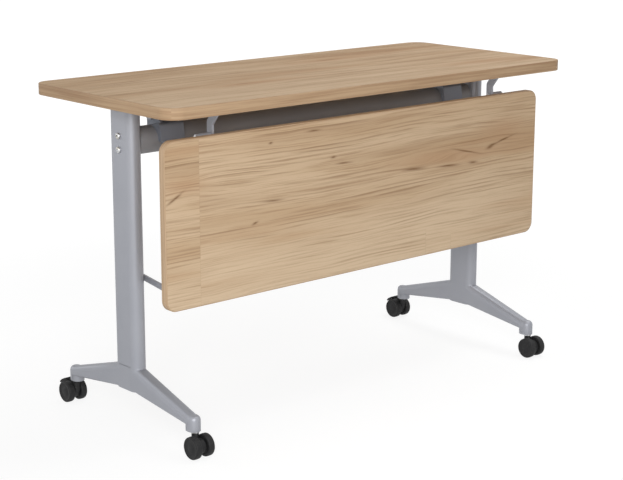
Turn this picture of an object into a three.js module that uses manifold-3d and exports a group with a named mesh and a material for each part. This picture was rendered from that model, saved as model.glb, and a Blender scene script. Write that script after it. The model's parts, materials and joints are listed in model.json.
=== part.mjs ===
// Flip top training table: a top that tips up on a cross beam, with a modesty panel
// that a pair of links keeps upright, on two T-legs with twin-wheel casters.
// Millimetres, +Z up, +X to the right, the modesty panel at the front (-Y).
// The origin is on the floor, under the middle of the table.

import * as THREE from 'three';
import { mergeVertices } from 'three/addons/utils/BufferGeometryUtils.js';
import Module from 'manifold-3d';

const wasm = await Module();
wasm.setup();

// Fits
const SEAT_GAP = 0.3; // between pieces that are fixed to each other
const RUN_GAP = 0.3; // between pieces that turn on each other
const OPEN_PIVOT_GAP = 0.6; // round the pin that joins a link to the panel
const MERGE = 1; // how far joined solids of one piece reach into each other
const THROUGH = 2; // how far a cutter runs past the face that it cuts

// Tabletop
const TABLE_HEIGHT = 750;
const TOP_WIDTH = 1200;
const TOP_DEPTH = 510;
const TOP_THICKNESS = 25;
const TOP_CORNER_RADIUS = 40;
const BAND_THICKNESS = 2;
const BAND_ROUND = 1.5;

// Modesty panel
const PANEL_INSET = 29; // each end, from the end of the top
const PANEL_SETBACK = 62.5; // front face, behind the front edge of the top
const PANEL_HEIGHT = 360;
const PANEL_THICKNESS = 18;
const PANEL_CORNER_RADIUS = 25;
const PANEL_ABOVE_HINGE = 4;

// Columns
const LEG_INSET = 70.5; // column centre, from the end of the top
const COLUMN_DEPTH = 80;
const COLUMN_WIDTH = 37;
const COLUMN_WALL = 2.5;
const COLUMN_TOP_GAP = 11; // cap to the underside of the top
const CAP_THICKNESS = 2;
const CAP_SKIRT = 14;
const CAP_SKIRT_WALL = 2;

// Cross beam and its bolts
const BEAM_DIAMETER = 60;
const BEAM_WALL = 3;
const BEAM_DROP = 82; // axis, below the underside of the top
const BEAM_END_THICKNESS = 10;
const BOLT_SPREAD = 30;
const BOLT_DIAMETER = 8;
const BOLT_HEAD_DIAMETER = 14;
const BOLT_HEAD_HEIGHT = 5;
const BOLT_SOCKET = 5.8; // across the corners
const BOLT_SOCKET_DEPTH = 2.5;

// Flip linkage, seen from the side
const FLIP_BACK = 20; // flip pivot, behind the columns' centre line
const FLIP_DROP = 32; // flip pivot, below the underside of the top
const LINK_FALL = 25; // pivot to pivot, downwards
const LINK_END_RISE = 13; // link's pin on the panel, above the panel's lower edge
const HINGE_STANDOFF = 9.5; // panel pivots, behind the panel's back

// Flip units
const FLIP_FROM_LEG = 104; // centre of a flip unit, inwards from the column
const SADDLE_WIDTH = 46;
const SADDLE_WALL = 4.2;
const SADDLE_SKIRT = 6; // how far the saddle reaches below the beam's axis
const SADDLE_CORNER = 8;
const APRON_FRONT = 40; // front of the saddle's apron, from the beam's axis
const APRON_RISE = 30; // round of its upper edge, above the beam's axis
const APRON_LEAN = 4;
const APRON_ROUND = 6;
const APRON_OUTWARD = 18; // reach of the apron beyond the saddle, towards the column
const SADDLE_EAR_THICKNESS = 6;
const SADDLE_EAR_RADIUS = 16;
const SECTOR_THICKNESS = 8;
const SECTOR_RADIUS = 20;
const SECTOR_WEB = 18;
const NOTCH_DEPTH = 2.6;
const NOTCH_ANGLE = 10; // degrees above the horizontal, top level
const FLIP_TRAVEL = 80; // degrees
const PIVOT_PIN_DIAMETER = 10;
const PIN_HEAD_DIAMETER = 16;
const PIN_HEAD_THICKNESS = 3;

// Top brackets
const BRACKET_THICKNESS = 4;
const BRACKET_WIDTH = 92;
const BRACKET_FRONT = 70; // reach of the plate in front of the flip pivot
const BRACKET_BACK = 84; // reach of the plate behind the flip pivot
const BRACKET_CORNER = 8;
const BRACKET_EAR_THICKNESS = 5.5;
const BRACKET_EAR_RADIUS = 13;
const BRACKET_EAR_FRONT = 16; // root of the ear, in front of the flip pivot
const BRACKET_EAR_BACK = 44; // root of the ear, behind the flip pivot
const SCREW_HOLE_DIAMETER = 5.5;
const SCREW_INSET = 11;

// Release levers
const LEVER_BACK = 24; // lever pivot, behind the flip pivot
const LEVER_RISE = 18; // lever pivot, above the flip pivot
const LEVER_THICKNESS = 8;
const LEVER_HUB_RADIUS = 7;
const LEVER_PIN_DIAMETER = 8;
const LEVER_EAR_RADIUS = 8;
const NOSE_WIDTH = 6;
const NOSE_CLEARANCE = 0.4; // nose to the sector's rim, lever lifted
const NOSE_LENGTH = 5;
const HANDLE_REACH = 128; // lever pivot to the middle of the grip
const HANDLE_FALL = 14;
const HANDLE_ARM = 10;
const GRIP_WIDTH = 74;
const GRIP_DEPTH = 34;
const GRIP_THICKNESS = 6;
const GRIP_ROUND = 1.5;

// Hangers and panel knuckles
const HANGER_FROM_LEG = 99.5;
const HANGER_THICKNESS = 5;
const HANGER_STRIP = 18;
const HANGER_STRAIGHT = 26; // straight part, above the panel's pivot
const HANGER_LEAN = 38; // degrees, forwards
const FLANGE_WIDTH = 40;
const FLANGE_DEPTH = 74;
const KNUCKLE_LENGTH = 36;
const KNUCKLE_RADIUS = 7;
const LEAF_THICKNESS = 3;
const LEAF_DROP = 42;
const HINGE_PIN_DIAMETER = 7;
const HINGE_HEAD_DIAMETER = 11;

// Links
const LINK_OFF_COLUMN = 4; // gap from the column's inner face to the link
const LINK_THICKNESS = 5;
const LINK_BAR = 12.5;
const LINK_EYE_RADIUS = 9;
const LINK_BOLT_DIAMETER = 10;
const LINK_BOLT_HEAD = 16;
const LINK_BOLT_COLLAR = 15;
const LUG_THICKNESS = 4;
const LUG_STUD_DIAMETER = 8;
const LUG_PLATE_WIDTH = 34;
const LUG_PLATE_HEIGHT = 24;
const LUG_EYE_RADIUS = 8;

// Casters
const WHEEL_DIAMETER = 50;
const WHEEL_THICKNESS = 15.5;
const WHEEL_SPACING = 17; // clear space between the two wheels
const WHEEL_SHOULDER = 3.5;
const WHEEL_DISH_RADIUS = 19;
const WHEEL_DISH = 1.4;
const AXLE_DIAMETER = 6;
const AXLE_ENGAGEMENT = 11; // length inside each wheel
const CASTER_TRAIL = 14;
const CASTER_BODY_WIDTH = 13;
const CASTER_BODY_RADIUS = 17;
const CASTER_NECK_RADIUS = 8;
const STEM_DIAMETER = 11;
const STEM_LENGTH = 30; // inside the foot's boss
const STEM_TAIL = 12; // inside the caster's neck
const STEM_COLLAR_DIAMETER = 18;
const STEM_COLLAR_THICKNESS = 3;
const WHEEL_TO_BOSS = 5.5; // top of the wheels to the underside of the boss
const PEDAL_PIVOT_OUT = 10; // from the axle, away from the stem
const PEDAL_PIVOT_UP = 19.5; // from the axle
const PEDAL_LUG_WIDTH = 6;
const PEDAL_LUG_RADIUS = 4;
const PEDAL_PIN_DIAMETER = 4;
const PEDAL_EAR = 3.2;
const PEDAL_WIDTH = 40;
const PEDAL_THICKNESS = 3.5;
const PEDAL_STANDOFF = 29.3; // middle of the pad, from the axle
const PEDAL_LOW = 38; // lower edge, in degrees above the axle
const PEDAL_HIGH = 70; // upper edge

// Cast feet, heights above the underside of the bosses
const STEM_INSET = 28; // stem axis, from the front or rear edge of the top
const BOSS_WIDTH = 29;
const BOSS_LENGTH = 35;
const BOSS_SETBACK = 6.5; // middle of a boss, inwards from its stem
const BOSS_HEIGHT = 34.5;
const BOSS_ROUND = 10;
const ARM_END_BOTTOM = 13;
const HUB_BOTTOM = 37.5;
const ARM_ROOT_TOP = 88;
const HUB_TOP = 93;
const ARM_ROOT_WIDTH = 36;
const ARM_END_WIDTH = 29.5;
const ARM_TOP_ROUND = 12.5;
const ARM_BOTTOM_ROUND = 2;
const ARM_WALL = 5;
const ARM_ROOF = 9;
const ARM_POCKETS = 2;
const ARM_RIB = 4;
const SPIGOT_HEIGHT = 36;

// Fineness of round shapes, in sides
const FINE = 24;
const ROUND = 16;
const PIN_SIDES = 8; // pins, and the holes that they are fixed in
const TURN_SIDES = 10; // holes that pins turn in, so that their flats clear the pin's corners
const WHEEL_SIDES = 16;
const SCREW_SIDES = 6;
const CORNER = 3; // steps in a quarter turn of a rounded edge
const CURVE = 3; // fineness of the arcs in an outline that shows
const COARSE = 1; // fineness of the arcs in a small outline

// Levels and places that follow from the sizes above
const topUnder = TABLE_HEIGHT - TOP_THICKNESS;
const legX = TOP_WIDTH / 2 - LEG_INSET;
const columnInnerX = legX - COLUMN_WIDTH / 2;
const columnTop = topUnder - COLUMN_TOP_GAP - CAP_THICKNESS;
const bossBottom = WHEEL_DIAMETER + WHEEL_TO_BOSS;
const hubTop = bossBottom + HUB_TOP;
const stemY = TOP_DEPTH / 2 - STEM_INSET;
const bossY = stemY - BOSS_SETBACK;
const beamZ = topUnder - BEAM_DROP;
const flipX = legX - FLIP_FROM_LEG;
const hangerX = legX - HANGER_FROM_LEG;
const linkX = columnInnerX - LINK_OFF_COLUMN - LINK_THICKNESS / 2;

// Points of the side view are (y, z)
const beamAxis = new THREE.Vector2(0, beamZ);
const flipPivot = new THREE.Vector2(FLIP_BACK, topUnder - FLIP_DROP);
const panelBack = PANEL_SETBACK + PANEL_THICKNESS - TOP_DEPTH / 2;
const panelPivot = new THREE.Vector2(panelBack + HINGE_STANDOFF, flipPivot.y - LINK_FALL);
const linkSpread = PANEL_HEIGHT - PANEL_ABOVE_HINGE - LINK_END_RISE;
const linkPivot = flipPivot.clone().add(new THREE.Vector2(0, -linkSpread));
const linkEnd = panelPivot.clone().add(new THREE.Vector2(0, -linkSpread));
const leverPivot = flipPivot.clone().add(new THREE.Vector2(LEVER_BACK, LEVER_RISE));
const panelTop = panelPivot.y + PANEL_ABOVE_HINGE;

// Finishes
const finishes = {
  laminate: { color: 0xb9986f, roughness: 0.5, metalness: 0 },
  edging: { color: 0xb08a62, roughness: 0.55, metalness: 0 },
  silver: { color: 0x9da0a6, roughness: 0.42, metalness: 0.3 },
  graphite: { color: 0x5b5955, roughness: 0.5, metalness: 0.2 },
  steel: { color: 0xb4b6ba, roughness: 0.3, metalness: 0.9 },
  plastic: { color: 0x343434, roughness: 0.55, metalness: 0 },
  tyre: { color: 0x2b2b2b, roughness: 0.7, metalness: 0 },
};

// A closed geometry with shared corners, no empty triangles and its faces outwards
function closed(geometry) {
  geometry.deleteAttribute('normal');
  geometry.deleteAttribute('uv');
  const welded = mergeVertices(geometry, 1e-4);
  const corner = welded.index.array;
  const position = welded.attributes.position;
  const kept = [];
  const a = new THREE.Vector3();
  const b = new THREE.Vector3();
  const c = new THREE.Vector3();
  let volume = 0;
  for (let i = 0; i < corner.length; i += 3) {
    const [p, q, r] = [corner[i], corner[i + 1], corner[i + 2]];
    if (p === q || q === r || r === p) continue;
    a.fromBufferAttribute(position, p);
    b.fromBufferAttribute(position, q);
    c.fromBufferAttribute(position, r);
    volume += a.dot(b.cross(c));
    kept.push(p, q, r);
  }
  if (volume < 0) kept.reverse();
  welded.setIndex(kept);
  return welded;
}

function toSolid(geometry) {
  const mesh = closed(geometry);
  const vertProperties = new Float32Array(mesh.attributes.position.array);
  const triVerts = new Uint32Array(mesh.index.array);
  return new wasm.Manifold(new wasm.Mesh({ numProp: 3, vertProperties, triVerts }));
}

function toGeometry(solid) {
  const mesh = solid.getMesh();
  const geometry = new THREE.BufferGeometry();
  geometry.setAttribute('position', new THREE.BufferAttribute(mesh.vertProperties, 3));
  geometry.setIndex(new THREE.BufferAttribute(mesh.triVerts, 1));
  return geometry;
}

function join(...geometries) {
  const [first, ...rest] = geometries.map(toSolid);
  return toGeometry(rest.reduce((whole, next) => whole.add(next), first));
}

function cut(geometry, ...cutters) {
  return toGeometry(cutters.map(toSolid).reduce((left, next) => left.subtract(next), toSolid(geometry)));
}

function common(first, second) {
  return toGeometry(toSolid(first).intersect(toSolid(second)));
}

// Turns a shape drawn in side view, with (y, z) points, to stand along X
const sideBasis = new THREE.Matrix4().makeBasis(
  new THREE.Vector3(0, 1, 0),
  new THREE.Vector3(0, 0, 1),
  new THREE.Vector3(1, 0, 0),
);

// Turns a shape drawn in front view, with (x, z) points, to reach forwards along -Y
const frontBasis = new THREE.Matrix4().makeBasis(
  new THREE.Vector3(1, 0, 0),
  new THREE.Vector3(0, 0, 1),
  new THREE.Vector3(0, -1, 0),
);

function extrude(shape, depth, curveSegments = CURVE) {
  return new THREE.ExtrudeGeometry(shape, { depth, bevelEnabled: false, curveSegments });
}

// A side-view shape as a plate from x0 to x1
function sidePlate(shape, x0, x1) {
  return extrude(shape, x1 - x0).applyMatrix4(sideBasis).translate(x0, 0, 0);
}

// A plan shape as a plate from z0 to z1
function flatPlate(shape, z0, z1, fineness) {
  return extrude(shape, z1 - z0, fineness).translate(0, 0, z0);
}

// A front-view shape as a plate from y0, at the back, to y1, at the front
function frontPlate(shape, y0, y1, fineness) {
  return extrude(shape, y0 - y1, fineness).applyMatrix4(frontBasis).translate(0, y0, 0);
}

// A rectangle with round corners, in the middle of the drawing
function roundedRectangle(width, height, radius) {
  const shape = new THREE.Shape();
  const x = width / 2 - radius;
  const y = height / 2 - radius;
  shape.absarc(x, y, radius, 0, Math.PI / 2);
  shape.absarc(-x, y, radius, Math.PI / 2, Math.PI);
  shape.absarc(-x, -y, radius, Math.PI, Math.PI * 1.5);
  shape.absarc(x, -y, radius, Math.PI * 1.5, Math.PI * 2);
  shape.closePath();
  return shape;
}

// A flat oval that is long in Y, as the columns are in plan
function flatOval(width, depth) {
  const shape = new THREE.Shape();
  const radius = width / 2;
  const straight = depth / 2 - radius;
  shape.absarc(0, straight, radius, 0, Math.PI / 2);
  shape.absarc(0, straight, radius, Math.PI / 2, Math.PI);
  shape.absarc(0, -straight, radius, Math.PI, Math.PI * 1.5);
  shape.absarc(0, -straight, radius, Math.PI * 1.5, Math.PI * 2);
  shape.closePath();
  return shape;
}

const disc = (centre, radius) => ({ centre, radius });

// The outline that a tight band takes round a few discs
function bandOutline(...discs) {
  const points = discs.flatMap(({ centre, radius }) =>
    Array.from({ length: ROUND }, (unused, i) => {
      const angle = (i / ROUND) * Math.PI * 2;
      return new THREE.Vector2(Math.cos(angle), Math.sin(angle)).multiplyScalar(radius).add(centre);
    }),
  );
  points.sort((p, q) => p.x - q.x || p.y - q.y);
  const turn = (o, p, q) => (p.x - o.x) * (q.y - o.y) - (p.y - o.y) * (q.x - o.x);
  const halfOutline = (ordered) => {
    const half = [];
    for (const point of ordered) {
      while (half.length > 1 && turn(half.at(-2), half.at(-1), point) <= 1e-6) half.pop();
      half.push(point);
    }
    return half.slice(0, -1);
  };
  return new THREE.Shape([...halfOutline(points), ...halfOutline(points.reverse())]);
}

// A round bar along X, its axis at a point of the side view
function barX(centre, radius, x0, x1, sides = ROUND) {
  const bar = new THREE.CylinderGeometry(radius, radius, x1 - x0, sides);
  return bar.rotateZ(-Math.PI / 2).translate((x0 + x1) / 2, centre.x, centre.y);
}

// A round bar along Z
function barZ(x, y, radius, z0, z1, sides = ROUND) {
  const bar = new THREE.CylinderGeometry(radius, radius, z1 - z0, sides);
  return bar.rotateX(Math.PI / 2).translate(x, y, (z0 + z1) / 2);
}

// A turned piece with its axis along X; the profile's points are (radius, x)
function turnedX(profile, centre, sides = ROUND) {
  const lathe = new THREE.LatheGeometry(profile, sides);
  return lathe.rotateZ(-Math.PI / 2).translate(0, centre.x, centre.y);
}

// A turned piece with its axis along Z; the profile's points are (radius, z)
function turnedZ(profile, x, y, sides = ROUND) {
  return new THREE.LatheGeometry(profile, sides).rotateX(Math.PI / 2).translate(x, y, 0);
}

const at = (radius, along) => new THREE.Vector2(radius, along);

// Points of a quarter round, from one angle to the other, in degrees
function arcPoints(centre, radius, from, to, steps = CORNER) {
  return Array.from({ length: steps + 1 }, (unused, i) => {
    const angle = THREE.MathUtils.degToRad(from + ((to - from) * i) / steps);
    return new THREE.Vector2(Math.cos(angle), Math.sin(angle)).multiplyScalar(radius).add(centre);
  });
}

// A skin over a row of alike outlines, closed at both ends
function loft(outlines) {
  const count = outlines[0].length;
  const positions = outlines.flat().flatMap((point) => point.toArray());
  const triangles = [];
  for (let row = 0; row < outlines.length - 1; row += 1) {
    for (let i = 0; i < count; i += 1) {
      const a = row * count + i;
      const b = row * count + ((i + 1) % count);
      triangles.push(a, b, b + count, a, b + count, a + count);
    }
  }
  const last = (outlines.length - 1) * count;
  for (let i = 1; i < count - 1; i += 1) {
    triangles.push(0, i + 1, i, last, last + i, last + i + 1);
  }
  const geometry = new THREE.BufferGeometry();
  geometry.setAttribute('position', new THREE.Float32BufferAttribute(positions, 3));
  geometry.setIndex(triangles);
  return geometry;
}

// A board without its band, and a band that runs round it, both in the middle of the drawing
function boardOutline(width, height, radius) {
  const trim = BAND_THICKNESS + SEAT_GAP;
  return roundedRectangle(width - 2 * trim, height - 2 * trim, radius - trim);
}

function bandRing(width, height, radius, thickness) {
  const inset = 2 * BAND_ROUND;
  const outside = roundedRectangle(width - inset, height - inset, radius - BAND_ROUND);
  const rounded = new THREE.ExtrudeGeometry(outside, {
    depth: thickness - inset,
    bevelSize: BAND_ROUND,
    bevelThickness: BAND_ROUND,
    bevelSegments: 2,
    curveSegments: CURVE,
  });
  const trim = 2 * BAND_THICKNESS;
  const inside = roundedRectangle(width - trim, height - trim, radius - BAND_THICKNESS);
  const core = extrude(inside, thickness + 2 * THROUGH).translate(0, 0, -THROUGH);
  return cut(rounded.translate(0, 0, BAND_ROUND), core);
}

function tabletop() {
  return flatPlate(boardOutline(TOP_WIDTH, TOP_DEPTH, TOP_CORNER_RADIUS), topUnder, TABLE_HEIGHT);
}

function tabletopBand() {
  return bandRing(TOP_WIDTH, TOP_DEPTH, TOP_CORNER_RADIUS, TOP_THICKNESS).translate(0, 0, topUnder);
}

const panelWidth = TOP_WIDTH - 2 * PANEL_INSET;
const panelMiddle = panelTop - PANEL_HEIGHT / 2;

function modestyPanel() {
  const outline = boardOutline(panelWidth, PANEL_HEIGHT, PANEL_CORNER_RADIUS);
  return frontPlate(outline, panelBack, panelBack - PANEL_THICKNESS).translate(0, 0, panelMiddle);
}

function panelBand() {
  const ring = bandRing(panelWidth, PANEL_HEIGHT, PANEL_CORNER_RADIUS, PANEL_THICKNESS);
  return ring.applyMatrix4(frontBasis).translate(0, panelBack, panelMiddle);
}

// Heights of the two beam bolts in each column
const boltHeights = [beamZ - BOLT_SPREAD / 2, beamZ + BOLT_SPREAD / 2];

// A column, with its middle at x = 0; inward is the direction of the table's middle
function column(inward) {
  const tube = flatOval(COLUMN_WIDTH, COLUMN_DEPTH);
  tube.holes.push(flatOval(COLUMN_WIDTH - 2 * COLUMN_WALL, COLUMN_DEPTH - 2 * COLUMN_WALL));
  const reach = COLUMN_WIDTH / 2 + THROUGH;
  const boltHoles = boltHeights.map((z) =>
    barX(new THREE.Vector2(0, z), BOLT_DIAMETER / 2 + SEAT_GAP, -reach, reach, PIN_SIDES),
  );
  const innerEnd = inward * reach;
  const holeRadius = LINK_BOLT_DIAMETER / 2 + SEAT_GAP;
  const linkHole = barX(linkPivot, holeRadius, Math.min(0, innerEnd), Math.max(0, innerEnd), PIN_SIDES);
  return cut(flatPlate(tube, hubTop + SEAT_GAP, columnTop), ...boltHoles, linkHole);
}

function columnCap() {
  const lid = flatPlate(flatOval(COLUMN_WIDTH, COLUMN_DEPTH), columnTop, columnTop + CAP_THICKNESS);
  const trim = 2 * (COLUMN_WALL + SEAT_GAP);
  const skirt = flatOval(COLUMN_WIDTH - trim, COLUMN_DEPTH - trim);
  const inner = trim + 2 * CAP_SKIRT_WALL;
  skirt.holes.push(flatOval(COLUMN_WIDTH - inner, COLUMN_DEPTH - inner));
  return join(lid, flatPlate(skirt, columnTop - CAP_SKIRT, columnTop + MERGE, 2 * COARSE));
}

// The cross-section of a foot's arm: round shoulders on top, small rounds below
function armSection(y, width, bottom, top, topRound, steps) {
  const half = width / 2;
  const low = ARM_BOTTOM_ROUND;
  const corners = [
    ...arcPoints(at(half - topRound, top - topRound), topRound, 0, 90, steps),
    ...arcPoints(at(topRound - half, top - topRound), topRound, 90, 180, steps),
    ...arcPoints(at(low - half, bottom + low), low, 180, 270, 1),
    ...arcPoints(at(half - low, bottom + low), low, 270, 360, 1),
  ];
  return corners.map((point) => new THREE.Vector3(point.x, y, point.y));
}

// Size of an arm at a distance from the column's centre line
function armAt(distance) {
  const root = COLUMN_DEPTH / 2;
  const share = (distance - root) / (bossY - root);
  return {
    width: THREE.MathUtils.lerp(ARM_ROOT_WIDTH, ARM_END_WIDTH, share),
    bottom: bossBottom + THREE.MathUtils.lerp(HUB_BOTTOM, ARM_END_BOTTOM, share),
    top: bossBottom + THREE.MathUtils.lerp(ARM_ROOT_TOP, BOSS_HEIGHT, share),
  };
}

function footArm(direction) {
  const stations = [COLUMN_DEPTH / 2 - COLUMN_WIDTH / 2, bossY];
  return loft(
    stations.map((distance) => {
      const { width, bottom, top } = armAt(distance);
      return armSection(direction * distance, width, bottom, top, ARM_TOP_ROUND, CORNER);
    }),
  );
}

// The hollows under an arm, parted by ribs
function armPockets(direction) {
  const start = COLUMN_DEPTH / 2 + ARM_WALL;
  const end = bossY - BOSS_LENGTH / 2 - ARM_WALL;
  const pitch = (end - start + ARM_RIB) / ARM_POCKETS;
  return Array.from({ length: ARM_POCKETS }, (unused, i) => {
    const near = start + i * pitch;
    return loft(
      [near, near + pitch - ARM_RIB].map((distance) => {
        const { width, bottom, top } = armAt(distance);
        const roof = Math.max(top - ARM_ROOF, bottom + ARM_ROOF);
        const hollow = width - 2 * ARM_WALL;
        return armSection(direction * distance, hollow, bottom - 2 * THROUGH, roof, ARM_WALL, 1);
      }),
    );
  });
}

// A boss for a caster's stem: an oval block with a round crown
function boss(y) {
  const shoulder = bossBottom + BOSS_HEIGHT - BOSS_ROUND;
  const levels = [at(0, bossBottom), ...arcPoints(at(-BOSS_ROUND, shoulder), BOSS_ROUND, 0, 90)];
  return loft(
    levels.map(({ x: outset, y: z }) => {
      const outline = flatOval(BOSS_WIDTH + 2 * outset, BOSS_LENGTH + 2 * outset).getPoints(CURVE);
      return outline.map((point) => new THREE.Vector3(point.x, y + point.y, z));
    }),
  );
}

// A foot with its hub at x = 0: arms to front and back, a boss for a caster at each end
function foot() {
  const hub = flatPlate(flatOval(COLUMN_WIDTH, COLUMN_DEPTH), bossBottom + HUB_BOTTOM, hubTop);
  const trim = 2 * (COLUMN_WALL + SEAT_GAP);
  const plug = flatOval(COLUMN_WIDTH - trim, COLUMN_DEPTH - trim);
  const spigot = flatPlate(plug, hubTop - MERGE, hubTop + SPIGOT_HEIGHT, 2 * COARSE);
  const socketTop = bossBottom + STEM_LENGTH + SEAT_GAP;
  const sockets = [-stemY, stemY].map((y) =>
    barZ(0, y, STEM_DIAMETER / 2 + RUN_GAP, bossBottom - THROUGH, socketTop, TURN_SIDES),
  );
  const casting = join(hub, spigot, footArm(-1), footArm(1), boss(-bossY), boss(bossY));
  return cut(casting, ...armPockets(-1), ...armPockets(1), ...sockets);
}

const beamEndX = columnInnerX - SEAT_GAP;

function beam() {
  const tube = barX(beamAxis, BEAM_DIAMETER / 2, -beamEndX, beamEndX, FINE);
  const boreEnd = beamEndX - BEAM_END_THICKNESS;
  const bore = barX(beamAxis, BEAM_DIAMETER / 2 - BEAM_WALL, -boreEnd, boreEnd, FINE);
  const boltHoles = boltHeights.map((z) =>
    barX(
      new THREE.Vector2(0, z),
      BOLT_DIAMETER / 2 + SEAT_GAP,
      -beamEndX - THROUGH,
      beamEndX + THROUGH,
      PIN_SIDES,
    ),
  );
  return cut(tube, bore, ...boltHoles);
}

// A beam bolt at a height, its head outwards along +X, from the column's middle at x = 0
function beamBolt(z) {
  const face = COLUMN_WIDTH / 2 + SEAT_GAP;
  const tip = -COLUMN_WIDTH / 2 - BEAM_END_THICKNESS;
  const shank = BOLT_DIAMETER / 2;
  const head = BOLT_HEAD_DIAMETER / 2;
  const rise = BOLT_HEAD_HEIGHT / 2;
  const profile = [
    at(0, tip),
    at(shank, tip),
    at(shank, face),
    at(head, face),
    at(head, face + rise),
    at(head - rise / 2, face + BOLT_HEAD_HEIGHT - rise / 3),
    at(head - rise, face + BOLT_HEAD_HEIGHT),
    at(0, face + BOLT_HEAD_HEIGHT),
  ];
  const axis = new THREE.Vector2(0, z);
  const socketFloor = face + BOLT_HEAD_HEIGHT - BOLT_SOCKET_DEPTH;
  const socket = barX(axis, BOLT_SOCKET / 2, socketFloor, face + BOLT_HEAD_HEIGHT + THROUGH, 6);
  return cut(turnedX(profile, axis, PIN_SIDES), socket);
}

// A point at an angle and distance from the flip pivot, in side view
function aboutFlip(degrees, distance) {
  const angle = THREE.MathUtils.degToRad(degrees);
  return new THREE.Vector2(Math.cos(angle), Math.sin(angle)).multiplyScalar(distance).add(flipPivot);
}

// A flip saddle, with its middle at x = 0: a skirt that hugs the beam, with an upright apron in
// front that reaches outwards, along +X, two ears that carry the flip pin, and between them the
// sector that the latch holds
function flipSaddle() {
  const half = SADDLE_WIDTH / 2;
  const hugRadius = BEAM_DIAMETER / 2 + SEAT_GAP;
  const outerRadius = hugRadius + SADDLE_WALL;
  const low = beamZ - SADDLE_SKIRT;
  const high = flipPivot.y + SECTOR_RADIUS;
  const spread = SADDLE_WIDTH + APRON_OUTWARD;
  const window = roundedRectangle(spread, high - low + SADDLE_CORNER, SADDLE_CORNER);
  const trimmed = frontPlate(window, flipPivot.x + SECTOR_RADIUS + THROUGH, -APRON_FRONT - THROUGH, COARSE);
  trimmed.translate(APRON_OUTWARD / 2, 0, (low + high + SADDLE_CORNER) / 2);
  const apronFoot = new THREE.Vector2(APRON_ROUND - APRON_FRONT, 0).add(beamAxis);
  const apronHead = new THREE.Vector2(APRON_ROUND + APRON_LEAN - APRON_FRONT, APRON_RISE).add(beamAxis);
  const apronOutline = bandOutline(
    disc(apronFoot, APRON_ROUND),
    disc(apronHead, APRON_ROUND),
    disc(beamAxis, hugRadius - MERGE),
  );
  const hug = barX(beamAxis, outerRadius, -half, half, FINE);
  const apron = sidePlate(apronOutline, -half, half + APRON_OUTWARD);
  const skirt = common(join(hug, apron), trimmed);
  const earOutline = bandOutline(disc(flipPivot, SADDLE_EAR_RADIUS), disc(beamAxis, outerRadius - MERGE));
  const inner = half - SADDLE_EAR_THICKNESS;
  const ears = [
    common(sidePlate(earOutline, -half, -inner), trimmed),
    common(sidePlate(earOutline, inner, half), trimmed),
  ];
  const thick = SECTOR_THICKNESS / 2;
  const webFoot = beamAxis.clone().lerp(flipPivot, 0.5);
  const web = bandOutline(disc(flipPivot, SECTOR_WEB / 2), disc(webFoot, SECTOR_WEB / 2));
  const sector = barX(flipPivot, SECTOR_RADIUS, -thick, thick, ROUND);
  const notchRoot = SECTOR_RADIUS - NOTCH_DEPTH;
  const notches = [NOTCH_ANGLE, NOTCH_ANGLE - FLIP_TRAVEL].map((degrees) => {
    const width = NOSE_WIDTH + 2 * NOSE_CLEARANCE;
    const block = new THREE.BoxGeometry(SECTOR_THICKNESS + 2 * THROUGH, 2 * NOTCH_DEPTH, width);
    const middle = aboutFlip(degrees, notchRoot + NOTCH_DEPTH);
    return block.rotateX(THREE.MathUtils.degToRad(degrees)).translate(0, middle.x, middle.y);
  });
  const latch = cut(sector, ...notches);
  const pinHole = barX(
    flipPivot,
    PIVOT_PIN_DIAMETER / 2 + RUN_GAP,
    -half - THROUGH,
    half + THROUGH,
    PIN_SIDES,
  );
  const seat = barX(beamAxis, hugRadius, -half - THROUGH, half + APRON_OUTWARD + THROUGH, FINE);
  return cut(join(skirt, ...ears, sidePlate(web, -thick, thick), latch), seat, pinHole);
}

const earInner = SADDLE_WIDTH / 2 + RUN_GAP;
const earOuter = earInner + BRACKET_EAR_THICKNESS;

// A top bracket, with its middle at x = 0: a screwed plate and two ears outside the saddle's
function topBracket() {
  const front = flipPivot.x - BRACKET_FRONT;
  const back = flipPivot.x + BRACKET_BACK;
  const bottom = topUnder - BRACKET_THICKNESS;
  const outline = roundedRectangle(BRACKET_WIDTH, back - front, BRACKET_CORNER);
  const plate = flatPlate(outline, bottom, topUnder, COARSE).translate(0, (front + back) / 2, 0);
  const rootRadius = BRACKET_THICKNESS / 2;
  const rootZ = topUnder - rootRadius;
  const earOutline = bandOutline(
    disc(flipPivot, BRACKET_EAR_RADIUS),
    disc(leverPivot, LEVER_EAR_RADIUS),
    disc(new THREE.Vector2(flipPivot.x - BRACKET_EAR_FRONT, rootZ), rootRadius),
    disc(new THREE.Vector2(flipPivot.x + BRACKET_EAR_BACK, rootZ), rootRadius),
  );
  const ears = [sidePlate(earOutline, -earOuter, -earInner), sidePlate(earOutline, earInner, earOuter)];
  const reach = earOuter + THROUGH;
  const flipHole = barX(flipPivot, PIVOT_PIN_DIAMETER / 2 + RUN_GAP, -reach, reach, TURN_SIDES);
  const leverHole = barX(leverPivot, LEVER_PIN_DIAMETER / 2 + SEAT_GAP, -reach, reach, PIN_SIDES);
  const screwX = BRACKET_WIDTH / 2 - SCREW_INSET / 2 - SCREW_HOLE_DIAMETER / 2;
  const screwHoles = [front + SCREW_INSET, back - SCREW_INSET].flatMap((y) =>
    [-screwX, screwX].map((x) =>
      barZ(x, y, SCREW_HOLE_DIAMETER / 2, bottom - THROUGH, topUnder + THROUGH, SCREW_SIDES),
    ),
  );
  return cut(join(plate, ...ears), flipHole, leverHole, ...screwHoles);
}

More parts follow.
